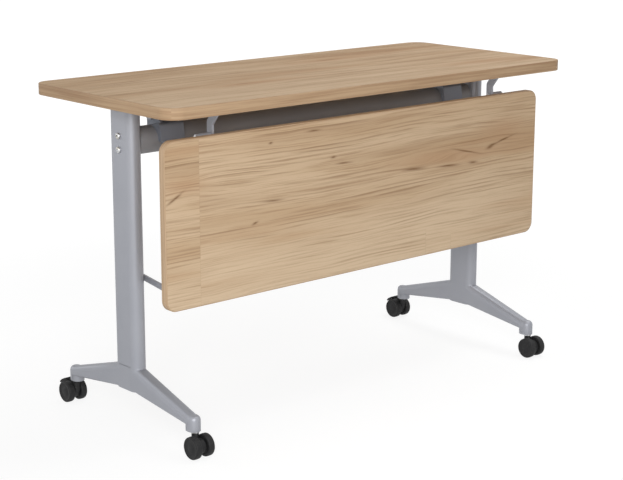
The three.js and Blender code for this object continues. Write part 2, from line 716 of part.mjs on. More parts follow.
// A pin along X with a head at each end, to span a pair of ears from -reach to reach
function headedPin(centre, diameter, headDiameter, headThickness, reach) {
  const face = reach + SEAT_GAP;
  const end = face + headThickness;
  const radius = diameter / 2;
  const head = headDiameter / 2;
  const profile = [
    at(0, -end),
    at(head, -end),
    at(head, -face),
    at(radius, -face),
    at(radius, face),
    at(head, face),
    at(head, end),
    at(0, end),
  ];
  return turnedX(profile, centre, PIN_SIDES);
}

function pivotPin() {
  return headedPin(flipPivot, PIVOT_PIN_DIAMETER, PIN_HEAD_DIAMETER, PIN_HEAD_THICKNESS, earOuter);
}

function leverPin() {
  const head = LEVER_PIN_DIAMETER + PIN_HEAD_THICKNESS;
  return headedPin(leverPivot, LEVER_PIN_DIAMETER, head, PIN_HEAD_THICKNESS / 2, earOuter);
}

// A release lever, with its middle at x = 0: a nose over the sector's notch, an arm and a grip
function releaseLever() {
  const half = LEVER_THICKNESS / 2;
  const noseRadius = NOSE_WIDTH / 2;
  const noseTip = aboutFlip(NOTCH_ANGLE, SECTOR_RADIUS + NOSE_CLEARANCE + noseRadius);
  const noseBack = aboutFlip(NOTCH_ANGLE, SECTOR_RADIUS + NOSE_CLEARANCE + NOSE_LENGTH);
  const grip = leverPivot.clone().add(new THREE.Vector2(HANDLE_REACH, -HANDLE_FALL));
  const nose = sidePlate(bandOutline(disc(noseTip, noseRadius), disc(noseBack, noseRadius)), -half, half);
  const shank = sidePlate(bandOutline(disc(noseBack, noseRadius), disc(leverPivot, noseRadius)), -half, half);
  const hub = barX(leverPivot, LEVER_HUB_RADIUS, -half, half);
  const armOutline = bandOutline(disc(leverPivot, HANDLE_ARM / 2), disc(grip, GRIP_THICKNESS / 2));
  const arm = sidePlate(armOutline, -half, half);
  const padWidth = GRIP_WIDTH - 2 * GRIP_ROUND;
  const padDepth = GRIP_DEPTH - 2 * GRIP_ROUND;
  const pad = new THREE.ExtrudeGeometry(roundedRectangle(padWidth, padDepth, padDepth / 3), {
    depth: GRIP_THICKNESS - 2 * GRIP_ROUND,
    bevelSize: GRIP_ROUND,
    bevelThickness: GRIP_ROUND,
    bevelSegments: 1,
    curveSegments: 2 * COARSE,
  });
  pad.translate(0, grip.x, grip.y - GRIP_THICKNESS / 2 + GRIP_ROUND);
  const reach = half + THROUGH;
  const hole = barX(leverPivot, LEVER_PIN_DIAMETER / 2 + RUN_GAP, -reach, reach, TURN_SIDES);
  return cut(join(hub, nose, shank, arm, pad), hole);
}

// A hanger, with its strip's middle at x = 0: an eye, a dog-leg strip and a screwed flange
function hanger() {
  const half = HANGER_THICKNESS / 2;
  const stripRadius = HANGER_STRIP / 2;
  const bend = panelPivot.clone().add(new THREE.Vector2(0, HANGER_STRAIGHT));
  const flangeBottom = topUnder - BRACKET_THICKNESS;
  const rise = flangeBottom + MERGE - bend.y;
  const lean = Math.tan(THREE.MathUtils.degToRad(HANGER_LEAN)) * rise;
  const crown = bend.clone().add(new THREE.Vector2(-lean, rise));
  const lower = sidePlate(bandOutline(disc(panelPivot, stripRadius), disc(bend, stripRadius)), -half, half);
  const upper = sidePlate(bandOutline(disc(bend, stripRadius), disc(crown, stripRadius)), -half, half);
  const ceiling = new THREE.BoxGeometry(4 * HANGER_THICKNESS, 8 * HANGER_STRIP, HANGER_STRIP);
  ceiling.translate(0, crown.x, topUnder - MERGE + HANGER_STRIP / 2);
  const outline = roundedRectangle(FLANGE_WIDTH, FLANGE_DEPTH, BRACKET_CORNER);
  const flange = flatPlate(outline, flangeBottom, topUnder, COARSE).translate(0, crown.x, 0);
  const screwX = FLANGE_WIDTH / 2 - SCREW_INSET;
  const screwY = FLANGE_DEPTH / 2 - SCREW_INSET;
  const screwHoles = [-screwY, screwY].flatMap((y) =>
    [-screwX, screwX].map((x) =>
      barZ(x, crown.x + y, SCREW_HOLE_DIAMETER / 2, flangeBottom - THROUGH, topUnder + THROUGH, SCREW_SIDES),
    ),
  );
  const reach = half + THROUGH;
  const pinHole = barX(panelPivot, HINGE_PIN_DIAMETER / 2 + RUN_GAP, -reach, reach, TURN_SIDES);
  return cut(join(cut(join(lower, upper), ceiling), flange), pinHole, ...screwHoles);
}

// A panel knuckle, with its middle at x = 0: a barrel on a leaf that is screwed to the panel
function panelKnuckle() {
  const half = KNUCKLE_LENGTH / 2;
  const barrel = barX(panelPivot, KNUCKLE_RADIUS, -half, half);
  const leafBack = panelBack + LEAF_THICKNESS;
  const leafTop = panelPivot.y;
  const leafOutline = roundedRectangle(KNUCKLE_LENGTH, LEAF_DROP, LEAF_THICKNESS);
  const leaf = frontPlate(leafOutline, leafBack, panelBack, COARSE);
  leaf.translate(0, 0, leafTop - LEAF_DROP / 2);
  const rib = bandOutline(
    disc(panelPivot, KNUCKLE_RADIUS),
    disc(new THREE.Vector2(leafBack - MERGE, leafTop - 2 * KNUCKLE_RADIUS), MERGE),
  );
  const reach = half + THROUGH;
  const pinHole = barX(panelPivot, HINGE_PIN_DIAMETER / 2 + SEAT_GAP, -reach, reach, PIN_SIDES);
  const screwHoles = [-half / 2, half / 2].map((x) => {
    const hole = new THREE.CylinderGeometry(
      SCREW_HOLE_DIAMETER / 2,
      SCREW_HOLE_DIAMETER / 2,
      LEAF_THICKNESS + 2 * THROUGH,
      SCREW_SIDES,
    );
    return hole.translate(x, (leafBack + panelBack) / 2, leafTop - LEAF_DROP + SCREW_INSET);
  });
  return cut(join(barrel, leaf, sidePlate(rib, -half, half)), pinHole, ...screwHoles);
}

// The hinge pin through a hanger's eye and its knuckle, from the eye's middle at x = 0 along +X
function hingePin() {
  const eye = HANGER_THICKNESS / 2 + SEAT_GAP;
  const far = HANGER_THICKNESS / 2 + RUN_GAP + KNUCKLE_LENGTH + SEAT_GAP;
  const radius = HINGE_PIN_DIAMETER / 2;
  const head = HINGE_HEAD_DIAMETER / 2;
  const profile = [
    at(0, -eye - PIN_HEAD_THICKNESS),
    at(head, -eye - PIN_HEAD_THICKNESS),
    at(head, -eye),
    at(radius, -eye),
    at(radius, far),
    at(head, far),
    at(head, far + PIN_HEAD_THICKNESS / 2),
    at(0, far + PIN_HEAD_THICKNESS / 2),
  ];
  return turnedX(profile, panelPivot, PIN_SIDES);
}

// A link bar, with its middle at x = 0
function linkBar() {
  const half = LINK_THICKNESS / 2;
  const bar = sidePlate(bandOutline(disc(linkPivot, LINK_BAR / 2), disc(linkEnd, LINK_BAR / 2)), -half, half);
  const eyes = [linkPivot, linkEnd].map((centre) => barX(centre, LINK_EYE_RADIUS, -half, half));
  const reach = half + THROUGH;
  const columnHole = barX(linkPivot, LINK_BOLT_DIAMETER / 2 + RUN_GAP, -reach, reach, TURN_SIDES);
  const panelHole = barX(linkEnd, LUG_STUD_DIAMETER / 2 + OPEN_PIVOT_GAP, -reach, reach, PIN_SIDES);
  return cut(join(bar, ...eyes), columnHole, panelHole);
}

// The shoulder bolt that holds a link to its column, which lies along +X from the link at x = 0
function linkBolt() {
  const near = LINK_THICKNESS / 2 + RUN_GAP;
  const wall = LINK_THICKNESS / 2 + LINK_OFF_COLUMN;
  const shank = LINK_BOLT_DIAMETER / 2;
  const head = LINK_BOLT_HEAD / 2;
  const collar = LINK_BOLT_COLLAR / 2;
  const profile = [
    at(0, -near - PIN_HEAD_THICKNESS),
    at(head, -near - PIN_HEAD_THICKNESS),
    at(head, -near),
    at(shank, -near),
    at(shank, near),
    at(collar, near),
    at(collar, wall - SEAT_GAP),
    at(shank, wall - SEAT_GAP),
    at(shank, wall + COLUMN_WALL),
    at(0, wall + COLUMN_WALL),
  ];
  return turnedX(profile, linkPivot, PIN_SIDES);
}

const lugNear = LINK_THICKNESS / 2 + OPEN_PIVOT_GAP;

// A link lug, on the inner side (-X) of a link at x = 0: an ear on a plate on the panel's back,
// with a stud that reaches through the link's eye
function linkLug() {
  const plateBack = panelBack + LEAF_THICKNESS;
  const outer = -lugNear;
  const inner = outer - LUG_THICKNESS;
  const foot0 = new THREE.Vector2(plateBack - MERGE, linkEnd.y + LUG_PLATE_HEIGHT / 2 - MERGE);
  const foot1 = new THREE.Vector2(plateBack - MERGE, linkEnd.y - LUG_PLATE_HEIGHT / 2 + MERGE);
  const earOutline = bandOutline(disc(linkEnd, LUG_EYE_RADIUS), disc(foot0, MERGE), disc(foot1, MERGE));
  const ear = sidePlate(earOutline, inner, outer);
  const outline = roundedRectangle(LUG_PLATE_WIDTH, LUG_PLATE_HEIGHT, LEAF_THICKNESS);
  const plate = frontPlate(outline, plateBack, panelBack, COARSE);
  plate.translate(outer - LUG_PLATE_WIDTH / 2, 0, linkEnd.y);
  const stud = barX(linkEnd, LUG_STUD_DIAMETER / 2, inner + MERGE, lugNear, PIN_SIDES);
  return join(ear, plate, stud);
}

// Casters are drawn with the stem at x = 0, y = 0 and the wheels trailing towards +Y
const axlePoint = new THREE.Vector2(CASTER_TRAIL, WHEEL_DIAMETER / 2);
const collarTop = bossBottom - RUN_GAP;
const neckTop = collarTop - STEM_COLLAR_THICKNESS - SEAT_GAP;
const pedalPivot = axlePoint.clone().add(new THREE.Vector2(PEDAL_PIVOT_OUT, PEDAL_PIVOT_UP));

function casterStem() {
  const radius = STEM_DIAMETER / 2;
  const collar = STEM_COLLAR_DIAMETER / 2;
  const collarBottom = collarTop - STEM_COLLAR_THICKNESS;
  const profile = [
    at(0, neckTop - STEM_TAIL),
    at(radius, neckTop - STEM_TAIL),
    at(radius, collarBottom),
    at(collar, collarBottom),
    at(collar, collarTop),
    at(radius, collarTop),
    at(radius, bossBottom + STEM_LENGTH - 1),
    at(radius - 1, bossBottom + STEM_LENGTH),
    at(0, bossBottom + STEM_LENGTH),
  ];
  return turnedZ(profile, 0, 0, PIN_SIDES);
}

function casterBody(braked) {
  const half = CASTER_BODY_WIDTH / 2;
  const neckFoot = new THREE.Vector2(0, axlePoint.y + CASTER_NECK_RADIUS);
  const neckBand = disc(neckFoot, CASTER_NECK_RADIUS - MERGE);
  const web = sidePlate(bandOutline(disc(axlePoint, CASTER_BODY_RADIUS), neckBand), -half, half);
  const neck = barZ(0, 0, CASTER_NECK_RADIUS, axlePoint.y, neckTop);
  const stemHole = barZ(
    0,
    0,
    STEM_DIAMETER / 2 + SEAT_GAP,
    neckTop - STEM_TAIL - SEAT_GAP,
    neckTop + THROUGH,
    PIN_SIDES,
  );
  const reach = half + THROUGH;
  const axleHole = barX(axlePoint, AXLE_DIAMETER / 2 + SEAT_GAP, -reach, reach, PIN_SIDES);
  const pieces = [web, neck];
  if (braked) {
    const lug = bandOutline(disc(axlePoint, CASTER_BODY_RADIUS / 2), disc(pedalPivot, PEDAL_LUG_RADIUS));
    pieces.push(sidePlate(lug, -PEDAL_LUG_WIDTH / 2, PEDAL_LUG_WIDTH / 2));
    pieces.push(barX(pedalPivot, PEDAL_PIN_DIAMETER / 2, -half, half, PIN_SIDES));
  }
  return cut(join(...pieces), stemHole, axleHole);
}

const wheelInner = WHEEL_SPACING / 2;

function casterAxle() {
  const end = wheelInner + AXLE_ENGAGEMENT;
  return barX(axlePoint, AXLE_DIAMETER / 2, -end, end, PIN_SIDES);
}

// A wheel on the +X side of the caster, with a blind bore from its inner face
function casterWheel() {
  const radius = WHEEL_DIAMETER / 2;
  const outer = wheelInner + WHEEL_THICKNESS;
  const bore = AXLE_DIAMETER / 2 + RUN_GAP;
  const boreEnd = wheelInner + AXLE_ENGAGEMENT + RUN_GAP;
  const core = radius - WHEEL_SHOULDER;
  const profile = [
    at(0, boreEnd),
    at(bore, boreEnd),
    at(bore, wheelInner),
    ...arcPoints(at(core, wheelInner + WHEEL_SHOULDER), WHEEL_SHOULDER, -90, 0, 1),
    ...arcPoints(at(core, outer - WHEEL_SHOULDER), WHEEL_SHOULDER, 0, 90, 2),
    at(WHEEL_DISH_RADIUS, outer - WHEEL_DISH),
    at(0, outer - WHEEL_DISH),
  ];
  return turnedX(profile, axlePoint, WHEEL_SIDES);
}

// A brake pedal: a pad that is curved round the wheels, on two ears
function brakePedal() {
  const lugHalf = PEDAL_LUG_WIDTH / 2 + RUN_GAP;
  const half = PEDAL_THICKNESS / 2;
  const padOutline = new THREE.Shape([
    ...arcPoints(axlePoint, PEDAL_STANDOFF + half, PEDAL_LOW, PEDAL_HIGH),
    ...arcPoints(axlePoint, PEDAL_STANDOFF - half, PEDAL_HIGH, PEDAL_LOW),
  ]);
  const pad = sidePlate(padOutline, -PEDAL_WIDTH / 2, PEDAL_WIDTH / 2);
  const [, padMiddle] = arcPoints(axlePoint, PEDAL_STANDOFF, PEDAL_LOW, PEDAL_HIGH, 2);
  const earOutline = bandOutline(disc(pedalPivot, PEDAL_LUG_RADIUS), disc(padMiddle, half));
  const ears = [
    sidePlate(earOutline, -lugHalf - PEDAL_EAR, -lugHalf),
    sidePlate(earOutline, lugHalf, lugHalf + PEDAL_EAR),
  ];
  const reach = lugHalf + PEDAL_EAR + THROUGH;
  const hole = barX(pedalPivot, PEDAL_PIN_DIAMETER / 2 + RUN_GAP, -reach, reach, PIN_SIDES);
  return cut(join(pad, ...ears), hole);
}

const table = new THREE.Group();
const materials = Object.fromEntries(
  Object.entries(finishes).map(([name, values]) => [name, new THREE.MeshStandardMaterial(values)]),
);

function addPart(parent, name, geometry, finish) {
  const mesh = new THREE.Mesh(closed(geometry), materials[finish].clone());
  mesh.name = name;
  parent.add(mesh);
  return mesh;
}

addPart(table, 'tabletop', tabletop(), 'laminate');
addPart(table, 'tabletop_edge_band', tabletopBand(), 'edging');
addPart(table, 'modesty_panel', modestyPanel(), 'laminate');
addPart(table, 'panel_edge_band', panelBand(), 'edging');
addPart(table, 'cross_beam', beam(), 'graphite');

// Pieces that stand in pairs; a turned piece is swung round so that its head faces its own side
for (const [side, sign] of [['left', -1], ['right', 1]]) {
  const swing = sign > 0 ? 0 : Math.PI;
  const pair = (name, geometry, finish, x) => {
    const mesh = addPart(table, `${name}_${side}`, geometry, finish);
    mesh.position.x = sign * x;
    return mesh;
  };
  // Mirrors a piece that is drawn for the right-hand side
  const handed = (geometry) => (sign > 0 ? geometry : closed(geometry.clone().scale(-1, 1, 1)));

  pair('column', column(-sign), 'silver', legX);
  pair('column_cap', columnCap(), 'plastic', legX);
  pair('foot', foot(), 'silver', legX);
  const [lowBolt, highBolt] = boltHeights;
  pair('beam_bolt_lower', beamBolt(lowBolt), 'steel', legX).rotation.z = swing;
  pair('beam_bolt_upper', beamBolt(highBolt), 'steel', legX).rotation.z = swing;
  pair('flip_saddle', handed(flipSaddle()), 'silver', flipX);
  pair('top_bracket', topBracket(), 'silver', flipX);
  pair('pivot_pin', pivotPin(), 'steel', flipX);
  pair('release_lever', releaseLever(), 'plastic', flipX);
  pair('lever_pin', leverPin(), 'steel', flipX);
  pair('hanger', hanger(), 'silver', hangerX);
  const knuckleX = hangerX + HANGER_THICKNESS / 2 + RUN_GAP + KNUCKLE_LENGTH / 2;
  pair('panel_knuckle', panelKnuckle(), 'silver', knuckleX);
  pair('hinge_pin', handed(hingePin()), 'steel', hangerX);
  pair('link_bar', linkBar(), 'silver', linkX);
  pair('link_bolt', handed(linkBolt()), 'steel', linkX);
  pair('link_lug', handed(linkLug()), 'silver', linkX);

  for (const [end, direction] of [['front', -1], ['rear', 1]]) {
    const caster = new THREE.Group();
    caster.position.set(sign * legX, direction * stemY, 0);
    caster.rotation.z = direction > 0 ? 0 : Math.PI;
    const braked = end === 'rear';
    const place = `${end}_${side}`;
    addPart(caster, `caster_stem_${place}`, casterStem(), 'steel');
    addPart(caster, `caster_body_${place}`, casterBody(braked), 'plastic');
    addPart(caster, `caster_axle_${place}`, casterAxle(), 'steel');
    addPart(caster, `wheel_a_${place}`, casterWheel(), 'tyre');
    addPart(caster, `wheel_b_${place}`, casterWheel().scale(-1, 1, 1), 'tyre');
    if (braked) addPart(caster, `brake_pedal_${place}`, brakePedal(), 'plastic');
    table.add(caster);
  }
}

export default table;
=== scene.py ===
# The looks of a flip top training table: wood-grain boards, powder-coated legs and feet,
# zinc-plated pins and bolts, and black moulded casters, levers and caps.
# Metres, in the frame of the solids: +X to the right, -Y to the front, +Z up.
import json
import math

import bmesh
import bpy
from mathutils import Matrix, Vector


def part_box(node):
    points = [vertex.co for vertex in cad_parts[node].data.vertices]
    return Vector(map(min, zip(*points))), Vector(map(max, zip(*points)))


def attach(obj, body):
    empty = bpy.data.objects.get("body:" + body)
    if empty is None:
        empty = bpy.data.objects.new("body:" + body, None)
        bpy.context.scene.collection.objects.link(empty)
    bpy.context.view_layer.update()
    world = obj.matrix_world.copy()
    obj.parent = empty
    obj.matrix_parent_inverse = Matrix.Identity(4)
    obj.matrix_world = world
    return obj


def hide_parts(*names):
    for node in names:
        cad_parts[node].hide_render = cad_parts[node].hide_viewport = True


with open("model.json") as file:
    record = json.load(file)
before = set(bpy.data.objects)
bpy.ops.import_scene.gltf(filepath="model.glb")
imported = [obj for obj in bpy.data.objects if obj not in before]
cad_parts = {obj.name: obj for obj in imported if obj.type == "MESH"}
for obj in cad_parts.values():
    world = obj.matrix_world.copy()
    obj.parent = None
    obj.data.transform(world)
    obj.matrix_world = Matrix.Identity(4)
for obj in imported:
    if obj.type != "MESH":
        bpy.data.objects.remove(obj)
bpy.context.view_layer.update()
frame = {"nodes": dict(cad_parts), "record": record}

MM = 0.001
ORIGIN = (0, 0, 0)
SIDES = (("left", -1), ("right", 1))
ENDS = (("front", -1), ("rear", 1))

# Boards
TOP_CORNER = 40 * MM
PANEL_CORNER = 25 * MM
BAND = 2 * MM
BAND_ROUND = 1.5 * MM
CORNER_STEPS = 14
EDGE_STEPS = 4

# Round forms
OVAL_STEPS = 64
BEAM_STEPS = 72
BEAM_LIP = 0.8 * MM
WHEEL_STEPS = 56
HEAD_STEPS = 24
QUARTER_STEPS = 5

# Edges of pressed, cast and moulded pieces; those bent by more than the crease are sharp or rounded
CREASE = math.radians(48)
EDGE_ROUND = 0.5 * MM
PEDAL_ROUND = 0.7 * MM
MOULD_ROUND = 0.8 * MM
CAST_ROUND = 1.2 * MM
ROUND_STEPS = 2
# How far a column reaches down past the rounded edge of its foot
JOINT_LAP = 1.2 * MM
# The rim that a broad face gets beside a rounding, in widths of the rounding
RIM_WIDTHS = 1.4
# A face is broad when its area divided by its outline is more than this many rims
BROAD_RIMS = 2
# CAD triangles that lie within this angle are one face, and points within this distance are one point
FLAT = math.radians(0.3)
SAME_POINT = 1e-6

# Casters' wheels, with points of their faces in millimetres: distance from the axle, depth below the face
WHEEL_SHOULDER = 3.2 * MM
WHEEL_CROWN = 0.25 * MM
INNER_FACE = ((0, 4.0), (3.4, 4.0), (3.4, 0), (7.0, 0), (7.8, 1.8), (18.6, 1.8), (19.4, 0))
HUB_CAP = ((10.2, 1.9), (9.4, 1.2), (8.2, 0.7), (4.0, 0.2), (0, 0.1))
# The step inside the rim, in millimetres: distance inwards, depth below the face
RIM_STEP = ((0.6, 0.5), (1.4, 0.6), (2.4, 1.5))

# Screws and bolts
SCREW_HEAD = 4.6 * MM
SCREW_RISE = 2.2 * MM
SCREW_SHANK = 1.9 * MM
SCREW_LENGTH = 6 * MM
BOLT_HEAD = 7 * MM
BOLT_RISE = 4.6 * MM
BOLT_SHANK = 4 * MM
BOLT_GAP = 0.3 * MM
# The part of a CAD bolt's length that its head takes
BOLT_HEAD_ROOM = 5 * MM
# A head's flat top, domed side and depth of recess, as shares of its radius and its rise
HEAD_TOP = 0.62
HEAD_SIDE = ((0.86, 0.82), (1.0, 0.42), (1.0, 0.0))
RECESS_DEPTH = 0.55
# Driver recesses: sides, reach as a share of the head's radius, and how far every second point is drawn in
CROSS = (8, 0.42, 0.42)
HEXAGON = (6, 0.5292, 1.0)

# Screwed plates: thickness, and places of the screws in from the edges
PLATE = 4 * MM
LEAF = 3 * MM
BRACKET_INSETS = (8.25 * MM, 11 * MM)
FLANGE_INSETS = (11 * MM, 11 * MM)
LEAF_SCREW_HEIGHT = 11 * MM
LUG_SCREW_INSETS = (7 * MM, 24 * MM)

# Springs that close the latches
SPRING_WIRE = 1.2 * MM
SPRING_RADIUS = 5.2 * MM
SPRING_PITCH = 1.35 * MM
SPRING_TURNS = 6
SPRING_LEG = 14 * MM
SPRING_FROM_LEVER = 5.4 * MM
TURN_STEPS = 20
WIRE_SIDES = 8

# Push-on caps of the link studs; the dome is in shares of the radius and the thickness,
# and the middle of a link's eye is an inset in from the edges of the link
CAP_RADIUS = 6.5 * MM
CAP_THICKNESS = 0.8 * MM
CAP_GAP = 0.3 * MM
CAP_DOME = ((0.7, 1.0), (0.5, 1.5), (0.0, 1.7))
CAP_RIM_STEPS = 3
EYE_INSET = 9 * MM

# Ribs on the brake pedals, at angles above the axle
RIB_ANGLES = (45, 51, 57, 63)
RIB_HEIGHT = 1.2 * MM
RIB_WIDTH = 1.4 * MM
RIB_ROUND = 0.4 * MM
RIB_INSET = 4 * MM
PAD_RADIUS = 31 * MM

# The floor and the light
WHITE = (1.0, 1.0, 1.0, 1.0)
# The rays that find the floor and the background white
WHITE_TO = ("Is Camera Ray", "Is Glossy Ray", "Is Transmission Ray")
# The strength of the even light from all round, and the floor's reach from its middle to an edge
SURROUND = 0.2
FLOOR_REACH = 30.0
# The floor's glow to those rays: its strength, its share at the table, and where that grows to the whole
FLOOR_GLOW = 1.1
GLOW_NEAR = 0.78
GLOW_GROWS = (0.9, 3.0)
# Softboxes, all turned to one point: place, width and height, power
LIGHT_TARGET = (0, 0, 0.45)
SOFTBOXES = {
    "key": ((-2.7, -3.05, 1.8), (2.0, 1.6), 118),
    "overhead": ((1.4, -0.3, 3.3), (2.6, 2.2), 52),
    "side": ((-3.6, 0.9, 1.6), (2.0, 1.6), 3),
    "back": ((-2.0, 3.2, 1.4), (2.4, 1.8), 18),
}

# The camera, at the photograph's angle: picture and focal length in pixels, sensor in millimetres
PICTURE_WIDTH = 623
FOCAL_PIXELS = 1584.93
SENSOR = 36
CAMERA_PLACE = Vector((-2.43306, -2.75313, 1.2386))
CAMERA_HEADING = math.radians(48.56)
CAMERA_TILT = math.radians(13.69)
CAMERA_ROLL = math.radians(0.1)


def shade(red, green, blue):
    """A colour named by its display values, 0 to 255, as shaders take it."""

    def linear(value):
        value /= 255
        return value / 12.92 if value <= 0.04045 else ((value + 0.055) / 1.055) ** 2.4

    return (linear(red), linear(green), linear(blue), 1.0)


class Field:
    """A value that changes over a surface. Sums and products of fields add Math nodes."""

    def __init__(self, nodes, socket):
        self.nodes = nodes
        self.socket = socket

    def _math(self, operation, first, second=0.0, clamp=False):
        settings = {"operation": operation, "use_clamp": clamp}
        return self.nodes.add("ShaderNodeMath", settings, {0: first, 1: second})

    def __add__(self, other):
        return self._math("ADD", self, other)

    def __sub__(self, other):
        return self._math("SUBTRACT", self, other)

    def __rsub__(self, other):
        return self._math("SUBTRACT", other, self)

    def __mul__(self, other):
        return self._math("MULTIPLY", self, other)

    def __truediv__(self, other):
        return self._math("DIVIDE", self, other)

    def __rpow__(self, other):
        return self._math("POWER", other, self)

    def __gt__(self, other):
        return self._math("GREATER_THAN", self, other)

    def __lt__(self, other):
        return self._math("LESS_THAN", self, other)

    def __abs__(self):
        return self._math("ABSOLUTE", self)

    __radd__ = __add__
    __rmul__ = __mul__

    def clamped(self):
        return self._math("ADD", self, 0.0, True)

    def fraction(self):
        return self._math("FRACT", self)

    def between(self, low, high):
        """0 below low, 1 above high, and a smooth rise between them."""
        settings = {"interpolation_type": "SMOOTHSTEP"}
        values = {"Value": self, "From Min": low, "From Max": high}
        return self.nodes.add("ShaderNodeMapRange", settings, values)

    def layer(self, low, high, strength):
        """The share of a colour that comes in between low and high, up to a strength."""
        return self.between(low, high) * strength


class Nodes:
    """The nodes of a material or of the world."""

    def __init__(self, tree):
        self.tree = tree

    def add(self, kind, settings, values, output=0):
        """A node of a kind, with its settings, then the values or links of its sockets."""
        node = self.tree.nodes.new(kind)
        for key, value in settings.items():
            setattr(node, key, value)
        for key, value in values.items():
            self.put(node.inputs[key], value)
        return Field(self, node.outputs[output])

    def put(self, socket, value):
        """Links a field to a socket, or sets a plain value on it."""
        if isinstance(value, Field):
            self.tree.links.new(value.socket, socket)
        else:
            socket.default_value = value

    def seen(self):
        """1 where it is looked at, also in a mirror or through glass, and 0 where it lights things."""
        straight, mirrored, through = (self.add("ShaderNodeLightPath", {}, {}, ray) for ray in WHITE_TO)
        return (straight + mirrored + through).clamped()


class Finish(Nodes):
    """A material on a Principled surface, built from nodes."""

    def __init__(self, name, constants):
        self.material = bpy.data.materials.new(name)
        self.material.use_nodes = True
        super().__init__(self.material.node_tree)
        self.surface = self.tree.nodes["Principled BSDF"]
        for socket, value in constants.items():
            self.wear(socket, value)

    def wear(self, socket, value):
        """Feeds one of the surface's own sockets."""
        self.put(self.surface.inputs[socket], value)

    def place(self):
        return self.add("ShaderNodeTexCoord", {}, {}, "Object")

    def facing(self):
        """The three parts of the direction that the surface faces."""
        return self.parts(self.add("ShaderNodeNewGeometry", {}, {}, "Normal"))

    def parts(self, vector):
        return [self.add("ShaderNodeSeparateXYZ", {}, {0: vector}, axis) for axis in "XYZ"]

    def vector(self, x, y, z):
        return self.add("ShaderNodeCombineXYZ", {}, {0: x, 1: y, 2: z})

    def stretch(self, vector, scale):
        return self.add("ShaderNodeVectorMath", {"operation": "MULTIPLY"}, {0: vector, 1: scale})

    def length(self, vector):
        return self.add("ShaderNodeVectorMath", {"operation": "LENGTH"}, {0: vector}, "Value")

    def noise(self, vector, scale, detail=2.0, roughness=0.5, distortion=0.0):
        """Cloudy values; scale gives the patches to the metre, one number or three."""
        if not isinstance(scale, tuple):
            scale = (scale, scale, scale)
        values = {
            "Vector": self.stretch(vector, scale),
            "Scale": 1.0,
            "Detail": detail,
            "Roughness": roughness,
            "Distortion": distortion,
        }
        return self.add("ShaderNodeTexNoise", {}, values)

    def mix(self, share, first, second):
        values = {0: share, 6: first, 7: second}
        return self.add("ShaderNodeMix", {"data_type": "RGBA"}, values, 2)

    def feel(self, roughness, rougher, relief, depth, strength):
        """A roughness with fields that add to it, and a relief whose values stand for a depth in metres."""
        for field, share in rougher:
            roughness = roughness + field * share
        self.wear("Roughness", roughness)
        values = {"Height": relief, "Distance": depth, "Strength": strength}
        self.wear("Normal", self.add("ShaderNodeBump", {}, values))


# Colours of the wood print and the edge bands, and of the painted light on the print
WOOD_PAINTED_LIGHT = shade(212, 189, 160)
WOOD_LIGHT = shade(205, 180, 150)
WOOD_MIDDLE = shade(189, 161, 129)
WOOD_ROSE = shade(178, 141, 108)
WOOD_BROWN = shade(156, 125, 94)
WOOD_LINE = shade(132, 101, 72)
WOOD_KNOT = shade(106, 72, 44)
TOP_BAND = (shade(184, 156, 125), shade(160, 130, 101))
PANEL_BAND = (shade(201, 174, 144), shade(180, 152, 122))
BAND_BROWN = shade(146, 112, 82)

# Colours of paint, plating and plastic: fresh, and in its darker or worn patches
SILVER = (shade(161, 163, 170), shade(150, 152, 160))
# The saddles' silver paint, drawn darker and bluer as painted shade for the shadow that the top casts on
# them
SILVER_PAINTED_SHADE = (shade(130, 135, 146), shade(118, 123, 134))
BEAM_GREY = (shade(136, 136, 139), shade(120, 119, 122))
ZINC = (shade(205, 207, 211), shade(184, 180, 170))
PLASTIC_BLACK = (shade(28, 28, 29), shade(53, 53, 54))
WHEEL_BLACK = (shade(29, 29, 30), shade(55, 54, 53))
FLOOR_WHITE = shade(238, 238, 238)

# Noises give values round this middle
NOISE_MIDDLE = 0.5
# Noises of the wood print: patches to the metre along, across and through the grain, detail, roughness
SWAY = ((1.3, 4.0, 4.0), 2.0, 0.5)
WAVER = ((5.0, 26.0, 26.0), 2.0, 0.5)
CLOUDS = ((1.1, 11.0, 11.0), 2.0, 0.5)
BANDS = ((1.6, 34.0, 34.0), 3.0, 0.55)
FADE = ((4.0, 46.0, 46.0), 2.0, 0.5)
FIBRES = ((5.0, 290.0, 290.0), 3.0, 0.65)
PORES = ((55.0, 1500.0, 1500.0), 2.0, 0.5)
STREAKS = ((3.0, 160.0, 1.0), 4.0, 0.6)
VEINS = ((5.0, 520.0, 1.0), 3.0, 0.55)
# How far the grain sways and wavers, and the flecks waver, in metres
SWAY_REACH = 0.040
WAVER_REACH = 0.009
FLECK_WAVER = 0.006
# Growth rings to the metre, how much the bands move them, and where their dark late wood comes and goes
RINGS = 112.0
RING_WANDER = 1.7
LATE_COMES = (0.40, 0.86)
LATE_GOES = (0.90, 1.0)
# Layers of the wood print: the values between which each comes in, and its strength where that isn't 1
CLOUD_LAYER = (0.34, 0.66)
BAND_LAYER = (0.50, 0.74, 0.34)
ROSE_LAYER = (0.34, 0.46, 0.30)
LINE_LAYER = (0.44, 0.70, 0.56)
FIBRE_LAYER = (0.47, 0.70, 0.50)
PORE_LAYER = (0.58, 0.75, 0.20)
FLECK_LAYER = (0.22, 0.50, 0.78)
STREAK_LAYER = (0.36, 0.68)
VEIN_LAYER = (0.5, 0.75, 0.6)
BANDS_IN_ROSE = 0.4
EYE_ROSE = 0.45
# Shares of the fibres and the pores in the relief
FIBRE_RELIEF = 0.6
PORE_RELIEF = 0.4
# Painted light on the print, which goes paler towards the front of the top and the foot of the panel: its
# strength, how far its limit sways, and how much it quiets the grain
PAINTED_LIGHT_STRENGTH = 0.75
PAINTED_LIGHT_SWAY = 0.2
PAINTED_LIGHT_QUIET = 0.45
# Butt joints: half the width and the strength of their line, and the print's jump along for a shift across
SEAM_HALF = 0.0007
SEAM_STRENGTH = 0.10
JOINT_JUMP = 9.0
# The edge band is at an end of the board where it faces along X by more than this
END_FACING = 0.7

